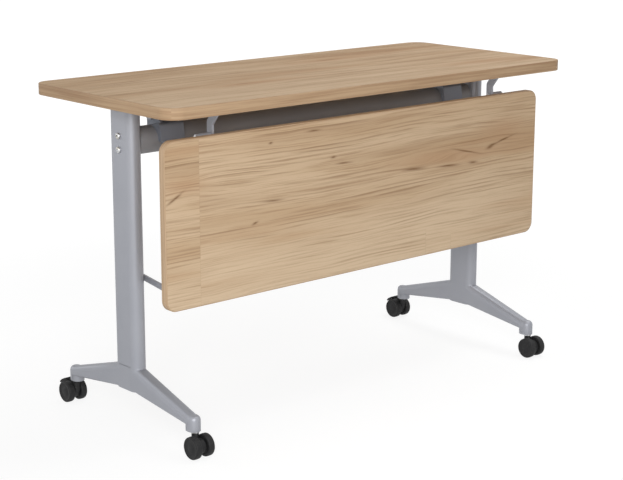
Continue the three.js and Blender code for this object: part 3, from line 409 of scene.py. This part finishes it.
# Layers of paint, plating and plastic, in the same way, and their noises
COAT_CLOUDS = (0.3, 0.7, 0.35)
COAT_GRAINS = (0.45, 0.75, 0.22)
ZINC_PATCHES = (0.35, 0.68)
TURNING_MARKS = (5200.0, 300.0, 300.0)
SCUFFS = (70.0, 70.0, 240.0)
SCUFF_LAYER = (0.52, 0.78, 0.4)
SKIN_LAYER = (0.5, 0.8, 0.15)

# The print of each board:
# eyes that the grain flows round: place along and across, reach along and across, push on the grain
# dark flecks: place along and across, half length, half thickness, slope
# butt joints between staves: place along, how far across they reach, shift of the grain
# painted_light_span: the places across between which the print goes from painted light to full tone
# contrast: how strongly the layers show
TOP_PRINT = {
    "eyes": (
        (0.180, 0.120, 0.160, 0.022, 0.018),
        (-0.240, -0.070, 0.150, 0.020, 0.014),
        (0.420, -0.140, 0.130, 0.020, -0.014),
    ),
    "flecks": ((0.150, 0.118, 0.026, 0.0014, 0.02), (-0.260, -0.066, 0.020, 0.0012, -0.03)),
    "joints": (),
    "painted_light_span": (-0.34, 0.30),
    "contrast": 1.7,
}
PANEL_PRINT = {
    "eyes": (
        (0.190, 0.545, 0.105, 0.017, 0.016),
        (0.310, 0.534, 0.075, 0.014, 0.011),
        (0.455, 0.590, 0.090, 0.026, -0.015),
        (-0.520, 0.575, 0.060, 0.020, -0.012),
    ),
    "flecks": (
        (0.145, 0.526, 0.036, 0.0034, -0.06),
        (0.262, 0.519, 0.032, 0.0026, -0.05),
        (0.346, 0.517, 0.014, 0.0026, -0.04),
        (0.325, 0.546, 0.040, 0.0022, -0.24),
        (0.408, 0.549, 0.013, 0.0046, 0.27),
        (0.452, 0.560, 0.034, 0.0022, 0.22),
        (-0.546, 0.552, 0.020, 0.0030, 0.52),
        (-0.165, 0.652, 0.018, 0.0026, 0.02),
        (-0.289, 0.638, 0.005, 0.0024, 0.10),
        (-0.108, 0.585, 0.007, 0.0026, 0.05),
        (-0.075, 0.568, 0.022, 0.0022, -0.03),
        (-0.333, 0.470, 0.008, 0.0030, 0.30),
        (-0.282, 0.511, 0.028, 0.0022, -0.04),
    ),
    "joints": ((-0.482, 0.700, 0.037), (0.189, 0.376, 0.004), (0.275, 0.352, 0.009)),
    "painted_light_span": (0.34, 0.54),
    "contrast": 1.08,
}


def nearness(along, across):
    """1 in the middle of a mark, falling away over its reach; distances are in reaches."""
    return math.e ** ((along * along + across * across) * -1.0)


def grain_colour(finish, along, across, depth, eyes, flecks, joints, painted_light_span, contrast):
    """The colour and relief of flat-sawn wood: growth rings that run along and flow round eyes."""
    shift = 0.0
    seam = 0.0
    for place, reach, slip in joints:
        stave = (across < reach) * ((along < place) if place < 0 else (along > place))
        shift = shift + stave * slip
        seam = seam + (abs(along - place) < SEAM_HALF) * (across < reach)
    push = 0.0
    rose = 0.0
    for place, level, reach, height, force in eyes:
        rise = (across - level) / height
        near = nearness((along - place) / reach, rise)
        push = push - near * rise * force
        rose = rose + near
    run = along + shift * JOINT_JUMP
    board = finish.vector(run, across + shift, depth)
    sway = finish.noise(board, *SWAY) - NOISE_MIDDLE
    waver = finish.noise(board, *WAVER) - NOISE_MIDDLE
    flow = across + push + sway * SWAY_REACH + waver * WAVER_REACH + shift
    grain = finish.vector(run, flow, depth)
    clouds, bands, fade, fibres, pores = (
        finish.noise(grain, *kind) for kind in (CLOUDS, BANDS, FADE, FIBRES, PORES)
    )
    ring = (flow * RINGS + bands * RING_WANDER).fraction()
    late = ring.between(*LATE_COMES) * (1.0 - ring.between(*LATE_GOES))
    # Painted light: the print goes pale towards one edge of the board, standing in for the light that falls
    # there, and its grain grows quieter there
    light = (1.0 - (flow + sway * PAINTED_LIGHT_SWAY).between(*painted_light_span)) * PAINTED_LIGHT_STRENGTH
    drawn = (1.0 - light * PAINTED_LIGHT_QUIET) * contrast
    dark = 0.0
    for place, level, reach, height, slope in flecks:
        middle = level + (along - place) * slope - waver * FLECK_WAVER
        dark = dark + nearness((along - place) / reach, (across - middle) / height)
    layers = (
        (light, WOOD_PAINTED_LIGHT),
        (bands.layer(*BAND_LAYER) * drawn, WOOD_BROWN),
        ((clouds - bands * BANDS_IN_ROSE).layer(*ROSE_LAYER) * contrast, WOOD_ROSE),
        (late * fade.layer(*LINE_LAYER) * drawn, WOOD_LINE),
        (fibres.layer(*FIBRE_LAYER) * drawn, WOOD_BROWN),
        (pores.layer(*PORE_LAYER) * contrast, WOOD_BROWN),
        (rose.clamped() * (EYE_ROSE * contrast), WOOD_ROSE),
        (dark.clamped() * fibres.layer(*FLECK_LAYER) * contrast, WOOD_KNOT),
    )
    colour = finish.mix(clouds.between(*CLOUD_LAYER), WOOD_LIGHT, WOOD_MIDDLE)
    for share, tone in layers:
        colour = finish.mix(share, colour, tone)
    if joints:
        colour = finish.mix(seam.clamped() * SEAM_STRENGTH, colour, WOOD_LINE)
    return colour, fibres * FIBRE_RELIEF + pores * PORE_RELIEF


def laminate(name, upright, wood_print, warmth=0.0):
    """A board's matt wood-grain face; the grain runs along X."""
    finish = Finish(name, {"Specular IOR Level": 0.03})
    x, y, z = finish.parts(finish.place())
    across, depth = (z, y) if upright else (y, z)
    colour, relief = grain_colour(finish, x, across, depth, **wood_print)
    if warmth:
        colour = finish.mix(warmth, colour, WOOD_ROSE)
    finish.wear("Base Color", colour)
    finish.feel(roughness=0.5, rougher=((relief, 0.16),), relief=relief, depth=0.06 * MM, strength=0.6)
    return finish.material


def wood_edging(name, upright, tones):
    """An edge band whose grain runs along each side of a board."""
    finish = Finish(name, {"Specular IOR Level": 0.15})
    x, y, z = finish.parts(finish.place())
    at_end = abs(finish.facing()[0]) > END_FACING
    end_along, across = (z, y) if upright else (y, z)
    along = x + (end_along - x) * at_end
    grain = finish.vector(along, across, at_end)
    streaks = finish.noise(grain, *STREAKS)
    veins = finish.noise(grain, *VEINS)
    colour = finish.mix(streaks.between(*STREAK_LAYER), *tones)
    finish.wear("Base Color", finish.mix(veins.layer(*VEIN_LAYER), colour, BAND_BROWN))
    finish.feel(roughness=0.46, rougher=((veins, 0.14),), relief=veins, depth=0.05 * MM, strength=0.5)
    return finish.material


def powder_coat(name, tones, peel, gloss, metal):
    """Sprayed paint with a faint orange-peel relief and slightly worn gloss."""
    finish = Finish(name, {"Metallic": metal, "Specular IOR Level": 0.35})
    place = finish.place()
    clouds = finish.noise(place, scale=9.0, detail=3.0)
    grains = finish.noise(place, scale=2600.0)
    orange_peel = finish.noise(place, scale=peel, roughness=0.45)
    darker = clouds.layer(*COAT_CLOUDS) + grains.layer(*COAT_GRAINS)
    finish.wear("Base Color", finish.mix(darker, *tones))
    rougher = ((clouds, 0.08), (grains, 0.05))
    finish.feel(roughness=gloss, rougher=rougher, relief=orange_peel, depth=0.05 * MM, strength=0.5)
    return finish.material


def plated_steel(name, tones):
    """Zinc plating: bright, with a patchy, faintly warm passivation and turning marks."""
    finish = Finish(name, {"Metallic": 1.0})
    place = finish.place()
    patches = finish.noise(place, scale=160.0, detail=3.0)
    marks = finish.noise(place, scale=TURNING_MARKS)
    finish.wear("Base Color", finish.mix(patches.between(*ZINC_PATCHES), *tones))
    rougher = ((patches, 0.12), (marks, 0.1))
    finish.feel(roughness=0.24, rougher=rougher, relief=marks, depth=0.02 * MM, strength=0.5)
    return finish.material


def moulded_plastic(name, tones, texture, gloss):
    """Black plastic with a fine spark-eroded texture and dull scuffs."""
    finish = Finish(name, {"Specular IOR Level": 0.3})
    place = finish.place()
    skin = finish.noise(place, scale=texture, roughness=0.6)
    scuffs = finish.noise(place, scale=SCUFFS, detail=4.0, roughness=0.6, distortion=0.4)
    worn = scuffs.layer(*SCUFF_LAYER) + skin.layer(*SKIN_LAYER)
    finish.wear("Base Color", finish.mix(worn, *tones))
    rougher = ((scuffs, 0.12), (skin, 0.06))
    finish.feel(roughness=gloss, rougher=rougher, relief=skin, depth=0.05 * MM, strength=0.6)
    return finish.material


finishes = {
    "top_laminate": laminate("top_laminate", False, TOP_PRINT, warmth=0.16),
    "panel_laminate": laminate("panel_laminate", True, PANEL_PRINT),
    "top_edging": wood_edging("top_edging", False, TOP_BAND),
    "panel_edging": wood_edging("panel_edging", True, PANEL_BAND),
    "silver": powder_coat("silver_coat", SILVER, peel=900.0, gloss=0.34, metal=0.3),
    "cast": powder_coat("cast_silver_coat", SILVER, peel=420.0, gloss=0.38, metal=0.3),
    # The saddles: silver paint darkened into painted shade
    "saddle_painted_shade": powder_coat("saddle_painted_shade_coat", SILVER_PAINTED_SHADE, peel=900.0, gloss=0.4, metal=0.2),
    "graphite": powder_coat("beam_coat", BEAM_GREY, peel=800.0, gloss=0.42, metal=0.1),
    "zinc": plated_steel("zinc_plate", ZINC),
    "plastic": moulded_plastic("black_plastic", PLASTIC_BLACK, texture=2400.0, gloss=0.5),
    "tyre": moulded_plastic("wheel_plastic", WHEEL_BLACK, texture=1800.0, gloss=0.56),
}
node_body = {node: name for name, nodes in frame["record"]["behaviour"]["bodies"].items() for node in nodes}


def show(name, bm, body, finish, *nodes):
    """Turns a finished bmesh into a piece that rides on a body and stands for CAD nodes."""
    mesh = bpy.data.meshes.new(name)
    bm.to_mesh(mesh)
    bm.free()
    mesh.shade_smooth()
    mesh.set_sharp_from_angle(angle=CREASE)
    mesh.materials.append(finishes[finish])
    piece = bpy.data.objects.new(name, mesh)
    bpy.context.scene.collection.objects.link(piece)
    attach(piece, body)
    if nodes:
        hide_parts(*nodes)
    return piece


def soften(piece, width):
    """Rounds a piece's sharp edges without bending the light on its flat faces."""
    bevel = piece.modifiers.new("edges", "BEVEL")
    bevel.width = width
    bevel.segments = ROUND_STEPS
    bevel.limit_method = "ANGLE"
    bevel.angle_limit = CREASE
    bevel.harden_normals = True


def outline_of(node):
    """A copy of a CAD node's form, with its loose triangles merged into plain faces."""
    bm = bmesh.new()
    bm.from_mesh(frame["nodes"][node].data)
    bmesh.ops.remove_doubles(bm, verts=bm.verts, dist=SAME_POINT)
    bmesh.ops.dissolve_limit(bm, angle_limit=FLAT, verts=bm.verts, edges=bm.edges)
    return bm


def lands(bm, rim):
    """Gives each broad flat face a narrow rim, so that roundings beside it leave it evenly lit."""

    def broad(face):
        around = sum(edge.calc_length() for edge in face.edges)
        return face.calc_area() / around > rim * BROAD_RIMS

    faces = [face for face in bm.faces if broad(face)]
    bmesh.ops.inset_individual(bm, faces=faces, thickness=rim, use_even_offset=False)
    return bm


def finish_node(node, finish, width=EDGE_ROUND):
    """A pressed, cast or moulded piece: the CAD form with rounded edges and its own finish."""
    form = lands(outline_of(node), width * RIM_WIDTHS)
    soften(show(f"{node}_finished", form, node_body[node], finish, node), width)


def picked(geometry, kind):
    """The items of one kind in an operator's result."""
    return [item for item in geometry if isinstance(item, kind)]


def stand_up(bm):
    """Turns a flat form upright, so that its upper face looks to the front."""
    turn = Matrix.Rotation(math.radians(90), 3, "X")
    bmesh.ops.rotate(bm, cent=ORIGIN, matrix=turn, verts=bm.verts)


def draw_out(bm, length):
    """Extrudes a flat form upwards into a closed body."""
    raised = bmesh.ops.extrude_face_region(bm, geom=bm.faces[:])["geom"]
    bmesh.ops.translate(bm, vec=(0, 0, length), verts=picked(raised, bmesh.types.BMVert))
    bmesh.ops.recalc_face_normals(bm, faces=bm.faces)


def seat(bm, node):
    """Moves a mesh so that its box has the same middle as a CAD node's."""
    corners = [vert.co for vert in bm.verts]
    low = Vector(min(co[axis] for co in corners) for axis in range(3))
    high = Vector(max(co[axis] for co in corners) for axis in range(3))
    node_low, node_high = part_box(node)
    bmesh.ops.translate(bm, vec=(node_low + node_high - low - high) / 2, verts=bm.verts)
    return bm


def set_in(bm, place, direction):
    """Points a form that is made along Z in a direction, with its origin at a place."""
    turn = Vector((0, 0, 1)).rotation_difference(Vector(direction)).to_matrix()
    bmesh.ops.rotate(bm, cent=ORIGIN, matrix=turn, verts=bm.verts)
    bmesh.ops.translate(bm, vec=place, verts=bm.verts)
    return bm


def is_upright(edge):
    """Tells an edge that runs up from one that lies flat."""
    first, second = (vert.co for vert in edge.verts)
    return abs(first.z - second.z) > max(abs(first.x - second.x), abs(first.y - second.y))


def blank_board(width, depth, thickness, corner):
    """A flat board in the XY plane with rounded corners, its middle at the origin."""
    bm = bmesh.new()
    bmesh.ops.create_cube(bm, size=1.0)
    bmesh.ops.scale(bm, vec=(width, depth, thickness), verts=bm.verts)
    upright = [edge for edge in bm.edges if is_upright(edge)]
    bmesh.ops.bevel(
        bm, geom=upright, offset=corner, offset_type="OFFSET", segments=CORNER_STEPS, profile=0.5,
        affect="EDGES", material=-1,
    )
    return bm


def banding(width, depth, thickness, corner):
    """The band round a board, with softly rounded outer edges."""
    bm = blank_board(width, depth, thickness, corner)
    under = min(bm.faces, key=lambda face: face.calc_center_median().z)
    bmesh.ops.delete(bm, geom=[face for face in bm.faces if face is not under], context="FACES")
    bmesh.ops.inset_region(bm, faces=[under], thickness=BAND, use_boundary=True, use_even_offset=True)
    bmesh.ops.delete(bm, geom=[under], context="FACES")
    draw_out(bm, thickness)

    def outer(edge):
        walls = [face for face in edge.link_faces if abs(face.normal.z) < 0.5]
        return len(walls) == 1 and walls[0].normal.dot(walls[0].calc_center_median()) > 0

    bmesh.ops.bevel(
        bm, geom=[edge for edge in bm.edges if outer(edge)], offset=BAND_ROUND, offset_type="OFFSET",
        segments=EDGE_STEPS, profile=0.5, affect="EDGES", material=-1,
    )
    return bm


def board_pair(board, band, body, corner, upright):
    """A board and the band round it, flat or upright."""

    def flat_size(node):
        low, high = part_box(node)
        width, depth, height = high - low
        return (width, height, depth) if upright else (width, depth, height)

    width, depth, thickness = flat_size(band)
    core_width, core_depth, core_thickness = flat_size(board)
    core = blank_board(core_width, core_depth, core_thickness, corner - (width - core_width) / 2)
    strip = banding(width, depth, thickness, corner)
    for bm, node, finish in ((core, board, f"{body}_laminate"), (strip, band, f"{body}_edging")):
        if upright:
            stand_up(bm)
        show(f"{node}_dressed", seat(bm, node), body, finish, node)


def boards():
    board_pair("tabletop", "tabletop_edge_band", "top", TOP_CORNER, False)
    board_pair("modesty_panel", "panel_edge_band", "panel", PANEL_CORNER, True)


def oval_column(node):
    """A column: a flat oval tube, drawn out between the foot and the cap; it hides the joint's edge."""
    low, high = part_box(node)
    width, depth, height = high - low
    radius = width / 2 / math.cos(math.pi / OVAL_STEPS)
    bm = bmesh.new()
    bmesh.ops.create_circle(bm, cap_ends=True, radius=radius, segments=OVAL_STEPS)
    turn = Matrix.Rotation(math.pi / OVAL_STEPS, 3, "Z")
    bmesh.ops.rotate(bm, cent=ORIGIN, matrix=turn, verts=bm.verts)
    for way in (-1, 1):
        half = [vert for vert in bm.verts if vert.co.y * way > 0]
        bmesh.ops.translate(bm, vec=(0, way * (depth / 2 - radius), 0), verts=half)
    draw_out(bm, height)
    seat(bm, node)
    foot = [vert for vert in bm.verts if vert.co.z < (low.z + high.z) / 2]
    bmesh.ops.translate(bm, vec=(0, 0, -JOINT_LAP), verts=foot)
    return bm


def turned(profile, axis, steps, centre):
    """A piece turned on a lathe; the profile's points are (distance from the axis, along it)."""
    bm = bmesh.new()
    verts = [bm.verts.new((0, radius, along)) for radius, along in profile]
    edges = [bm.edges.new(pair) for pair in zip(verts, verts[1:])]
    bmesh.ops.spin(
        bm, geom=verts + edges, cent=ORIGIN, axis=(0, 0, 1), dvec=ORIGIN, angle=math.tau, steps=steps,
        use_merge=True, use_duplicate=False,
    )
    bmesh.ops.remove_doubles(bm, verts=bm.verts, dist=SAME_POINT)
    bmesh.ops.recalc_face_normals(bm, faces=bm.faces)
    return set_in(bm, centre, axis)


def quarter(radius, along, size, start, steps=QUARTER_STEPS):
    """Points of a quarter round in a lathe profile; start is in degrees."""
    angles = (math.radians(start + 90 * step / steps) for step in range(steps + 1))
    return [(radius + size * math.cos(a), along + size * math.sin(a)) for a in angles]


def beam():
    low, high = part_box("cross_beam")
    radius = (high.z - low.z) / 2
    half = (high.x - low.x) / 2
    profile = [
        (0, -half),
        *quarter(radius - BEAM_LIP, -half + BEAM_LIP, BEAM_LIP, -90),
        *quarter(radius - BEAM_LIP, half - BEAM_LIP, BEAM_LIP, 0),
        (0, half),
    ]
    centre = (low + high) / 2
    show("beam_tube", turned(profile, (1, 0, 0), BEAM_STEPS, centre), "frame", "graphite", "cross_beam")


def wheel(node, outward):
    """A caster wheel: crowned tread, a dished outer face with a hub cap, a recessed inner face."""
    low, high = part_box(node)
    radius = (high.z - low.z) / 2
    outer = (high.x - low.x) / 2
    rim = radius - WHEEL_CROWN - WHEEL_SHOULDER
    profile = [
        *((out * MM, deep * MM - outer) for out, deep in INNER_FACE),
        *quarter(rim, WHEEL_SHOULDER - outer, WHEEL_SHOULDER, -90),
        (radius, 0),
        *quarter(rim, outer - WHEEL_SHOULDER, WHEEL_SHOULDER, 0),
        *((rim - inwards * MM, outer - deep * MM) for inwards, deep in RIM_STEP),
        *((out * MM, outer - deep * MM) for out, deep in HUB_CAP),
    ]
    bm = turned(profile, (outward, 0, 0), WHEEL_STEPS, (low + high) / 2)
    show(f"{node}_moulded", bm, node, "tyre", node)


def fastener(recess, head, rise, shank, length):
    """A domed head with a driver recess, upwards from the origin, and a shank below it."""
    sides, reach, waist = recess
    bm = bmesh.new()
    radius, height = head * HEAD_TOP, rise
    rim = bmesh.ops.create_circle(bm, cap_ends=False, radius=radius, segments=HEAD_STEPS)["verts"]
    mouth = bmesh.ops.create_circle(bm, cap_ends=False, radius=head * reach, segments=sides)["verts"]
    bmesh.ops.scale(bm, vec=(waist, waist, 1), verts=mouth[1::2])
    bmesh.ops.translate(bm, vec=(0, 0, height), verts=rim + mouth)
    loop = [edge for edge in bm.edges if edge.verts[0] in rim]
    mouth_edges = [edge for edge in bm.edges if edge.verts[0] in mouth]
    bmesh.ops.bridge_loops(bm, edges=loop + mouth_edges)
    floor = bmesh.ops.extrude_edge_only(bm, edges=mouth_edges)["geom"]
    bmesh.ops.translate(bm, vec=(0, 0, -rise * RECESS_DEPTH), verts=picked(floor, bmesh.types.BMVert))
    bmesh.ops.contextual_create(bm, geom=picked(floor, bmesh.types.BMEdge))
    side = [(head * out, rise * up) for out, up in HEAD_SIDE]
    for next_radius, next_height in (*side, (shank, 0), (shank, -length)):
        grown = bmesh.ops.extrude_edge_only(bm, edges=loop)["geom"]
        ring = picked(grown, bmesh.types.BMVert)
        wider = next_radius / radius
        bmesh.ops.scale(bm, vec=(wider, wider, 1), verts=ring)
        bmesh.ops.translate(bm, vec=(0, 0, next_height - height), verts=ring)
        edges = picked(grown, bmesh.types.BMEdge)
        loop = [edge for edge in edges if all(vert in ring for vert in edge.verts)]
        radius, height = next_radius, next_height
    bmesh.ops.contextual_create(bm, geom=loop)
    bmesh.ops.recalc_face_normals(bm, faces=bm.faces)
    return bm


def screws(name, places, direction, body):
    """A group of pan-head screws, all driven the same way."""
    group = bmesh.new()
    for place in places:
        single = fastener(CROSS, SCREW_HEAD, SCREW_RISE, SCREW_SHANK, SCREW_LENGTH)
        set_in(single, place, direction)
        mesh = bpy.data.meshes.new("screw")
        single.to_mesh(mesh)
        single.free()
        group.from_mesh(mesh)
        bpy.data.meshes.remove(mesh)
    show(name, group, body, "zinc")


def beam_bolt(level, side, way):
    """A socket bolt that holds the beam, its head against the outside of the column."""
    node = f"beam_bolt_{level}_{side}"
    low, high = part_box(node)
    column_low, column_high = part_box(f"column_{side}")
    outside = column_high.x if way > 0 else column_low.x
    middle = (low + high) / 2
    bolt = fastener(HEXAGON, BOLT_HEAD, BOLT_RISE, BOLT_SHANK, high.x - low.x - BOLT_HEAD_ROOM)
    set_in(bolt, (outside + way * BOLT_GAP, middle.y, middle.z), (way, 0, 0))
    show(f"{node}_plated", bolt, "frame", "zinc", node)


def grow(bm, face, step):
    """Extrudes an end face by a step."""
    grown = bmesh.ops.extrude_face_region(bm, geom=[face])["geom"]
    bmesh.ops.translate(bm, vec=step, verts=picked(grown, bmesh.types.BMVert))
    bmesh.ops.delete(bm, geom=[face], context="FACES_ONLY")


def torsion_spring(name, start, way, body):
    """A close-wound wire spring on a pin along X, with a straight leg at its far end."""
    bm = bmesh.new()
    bmesh.ops.create_circle(bm, cap_ends=True, radius=SPRING_WIRE / 2, segments=WIRE_SIDES)
    stand_up(bm)
    bmesh.ops.translate(bm, vec=start - Vector((0, 0, SPRING_RADIUS)), verts=bm.verts)
    wound = bmesh.ops.spin(
        bm, geom=bm.verts[:] + bm.edges[:] + bm.faces[:], cent=start, axis=(1, 0, 0),
        dvec=(way * SPRING_PITCH / TURN_STEPS, 0, 0), angle=math.tau * SPRING_TURNS,
        steps=SPRING_TURNS * TURN_STEPS, use_merge=False, use_duplicate=False,
    )
    grow(bm, picked(wound["geom_last"], bmesh.types.BMFace)[0], (0, SPRING_LEG, 0))
    bmesh.ops.recalc_face_normals(bm, faces=bm.faces)
    show(name, bm, body, "zinc")


def stud_cap(side, way):
    """A push-on cap that keeps a link on its stud: a thin dome with a rolled rim."""
    low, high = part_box(f"link_bar_{side}")
    face = high.x if way > 0 else low.x
    rim = CAP_THICKNESS / 2
    profile = [
        (0, 0),
        *quarter(CAP_RADIUS - rim, rim, rim, -90, CAP_RIM_STEPS),
        *quarter(CAP_RADIUS - rim, rim, rim, 0, CAP_RIM_STEPS),
        *((CAP_RADIUS * out, CAP_THICKNESS * up) for out, up in CAP_DOME),
    ]
    centre = (face + way * CAP_GAP, low.y + EYE_INSET, low.z + EYE_INSET)
    show(f"stud_cap_{side}", turned(profile, (way, 0, 0), HEAD_STEPS, centre), "panel", "zinc")


def pedal_ribs(place):
    """Ribs across a brake pedal's pad, for the shoe to grip."""
    low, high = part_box(f"wheel_a_{place}")
    axle = (low + high) / 2
    low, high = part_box(f"brake_pedal_{place}")
    ribs = bmesh.new()
    for angle in RIB_ANGLES:
        bar = bmesh.ops.create_cube(ribs, size=1.0)["verts"]
        bmesh.ops.scale(ribs, vec=(high.x - low.x - 2 * RIB_INSET, RIB_HEIGHT, RIB_WIDTH), verts=bar)
        bmesh.ops.translate(ribs, vec=(0, PAD_RADIUS, 0), verts=bar)
        turn = Matrix.Rotation(math.radians(angle), 3, "X")
        bmesh.ops.rotate(ribs, cent=ORIGIN, matrix=turn, verts=bar)
    bmesh.ops.bevel(
        ribs, geom=ribs.edges[:], offset=RIB_ROUND, offset_type="OFFSET", segments=ROUND_STEPS, profile=0.5,
        affect="EDGES", material=-1,
    )
    bmesh.ops.translate(ribs, vec=((low.x + high.x) / 2, axle.y, axle.z), verts=ribs.verts)
    show(f"pedal_ribs_{place}", ribs, f"brake_pedal_{place}", "plastic")


def table_frame():
    beam()
    for side, way in SIDES:
        column = f"column_{side}"
        show(f"{column}_tube", oval_column(column), "frame", "silver", column)
        finish_node(f"column_cap_{side}", "plastic")
        finish_node(f"foot_{side}", "cast", CAST_ROUND)
        finish_node(f"flip_saddle_{side}", "saddle_painted_shade")
        finish_node(f"pivot_pin_{side}", "zinc")
        finish_node(f"link_bolt_{side}", "zinc")
        beam_bolt("lower", side, way)
        beam_bolt("upper", side, way)


def flip_parts():
    for side, way in SIDES:
        finish_node(f"top_bracket_{side}", "silver")
        finish_node(f"lever_pin_{side}", "zinc")
        finish_node(f"hanger_{side}", "silver")
        finish_node(f"release_lever_{side}", "plastic", MOULD_ROUND)
        finish_node(f"panel_knuckle_{side}", "silver")
        finish_node(f"hinge_pin_{side}", "zinc")
        finish_node(f"link_bar_{side}", "silver")
        finish_node(f"link_lug_{side}", "silver")
        stud_cap(side, way)
        low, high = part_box(f"lever_pin_{side}")
        middle = (low + high) / 2
        for hand, step in (("inner", -way), ("outer", way)):
            start = middle + Vector((step * SPRING_FROM_LEVER, 0, 0))
            torsion_spring(f"latch_spring_{hand}_{side}", start, step, "top")


def casters():
    for end, along in ENDS:
        for side, _ in SIDES:
            place = f"{end}_{side}"
            finish_node(f"caster_stem_{place}", "zinc")
            finish_node(f"caster_body_{place}", "plastic", MOULD_ROUND)
            finish_node(f"caster_axle_{place}", "zinc")
            wheel(f"wheel_a_{place}", along)
            wheel(f"wheel_b_{place}", -along)
            if end == "rear":
                finish_node(f"brake_pedal_{place}", "plastic", PEDAL_ROUND)
                pedal_ribs(place)


def corner_screws(name, node, insets, height):
    """Screws up into the tabletop near the four corners of a plate."""
    low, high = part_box(node)
    inset_x, inset_y = insets
    xs = (low.x + inset_x, high.x - inset_x)
    ys = (low.y + inset_y, high.y - inset_y)
    screws(name, [(x, y, height) for x in xs for y in ys], (0, 0, -1), "top")


def screwed_plates():
    plate_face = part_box("tabletop")[0].z - PLATE
    leaf_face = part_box("modesty_panel")[1].y + LEAF
    for side, way in SIDES:
        corner_screws(f"bracket_screws_{side}", f"top_bracket_{side}", BRACKET_INSETS, plate_face)
        corner_screws(f"hanger_screws_{side}", f"hanger_{side}", FLANGE_INSETS, plate_face)
        low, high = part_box(f"panel_knuckle_{side}")
        quarter_width = (high.x - low.x) / 4
        xs = (low.x + quarter_width, high.x - quarter_width)
        leaf = [(x, leaf_face, low.z + LEAF_SCREW_HEIGHT) for x in xs]
        screws(f"knuckle_screws_{side}", leaf, (0, 1, 0), "panel")
        low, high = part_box(f"link_lug_{side}")
        inner = high.x if way < 0 else low.x
        lug = [(inner + way * inset, leaf_face, (low.z + high.z) / 2) for inset in LUG_SCREW_INSETS]
        screws(f"lug_screws_{side}", lug, (0, 1, 0), "panel")


def studio_floor():
    """A white floor that keeps a faint shadow."""
    bm = bmesh.new()
    bmesh.ops.create_grid(bm, x_segments=1, y_segments=1, size=FLOOR_REACH)
    mesh = bpy.data.meshes.new("floor")
    bm.to_mesh(mesh)
    bm.free()
    floor = bpy.data.objects.new("floor", mesh)
    bpy.context.scene.collection.objects.link(floor)
    finish = Finish("floor", {"Base Color": FLOOR_WHITE, "Roughness": 0.9, "Specular IOR Level": 0.0})
    glow = finish.add("ShaderNodeEmission", {}, {"Color": WHITE, "Strength": FLOOR_GLOW})
    share = GLOW_NEAR + finish.length(finish.place()).between(*GLOW_GROWS) * (1.0 - GLOW_NEAR)
    lit = Field(finish, finish.surface.outputs[0])
    blend = finish.add("ShaderNodeMixShader", {}, {0: finish.seen() * share, 1: lit, 2: glow})
    finish.put(finish.tree.nodes["Material Output"].inputs["Surface"], blend)
    mesh.materials.append(finish.material)


def surroundings():
    """A white background, and even light from all round."""
    world = bpy.data.worlds.new("studio")
    bpy.context.scene.world = world
    world.use_nodes = True
    nodes = Nodes(world.node_tree)
    background = nodes.tree.nodes["Background"].inputs
    nodes.put(background["Color"], WHITE)
    nodes.put(background["Strength"], SURROUND + nodes.seen() * (1.0 - SURROUND))


def softbox(name, place, size, power):
    light = bpy.data.lights.new(name, "AREA")
    light.shape = "RECTANGLE"
    light.size, light.size_y = size
    light.energy = power
    lamp = bpy.data.objects.new(name, light)
    lamp.location = place
    lamp.rotation_euler = (Vector(LIGHT_TARGET) - Vector(place)).to_track_quat("-Z", "Y").to_euler()
    bpy.context.scene.collection.objects.link(lamp)


def studio_light():
    surroundings()
    for name, (place, size, power) in SOFTBOXES.items():
        softbox(name, place, size, power)


def photograph_camera():
    camera = bpy.data.cameras.new("camera")
    camera.sensor_width = SENSOR
    camera.lens = SENSOR * FOCAL_PIXELS / PICTURE_WIDTH
    viewer = bpy.data.objects.new("camera", camera)
    level = math.cos(CAMERA_TILT)
    ahead, across = level * math.cos(CAMERA_HEADING), level * math.sin(CAMERA_HEADING)
    sight = Vector((ahead, across, -math.sin(CAMERA_TILT)))
    turn = sight.to_track_quat("-Z", "Y").to_matrix() @ Matrix.Rotation(CAMERA_ROLL, 3, "Z")
    viewer.matrix_world = Matrix.Translation(CAMERA_PLACE) @ turn.to_4x4()
    bpy.context.scene.collection.objects.link(viewer)
    bpy.context.scene.camera = viewer


boards()
table_frame()
flip_parts()
casters()
screwed_plates()
studio_floor()
studio_light()
photograph_camera()
bpy.context.scene.view_settings.view_transform = "Standard"
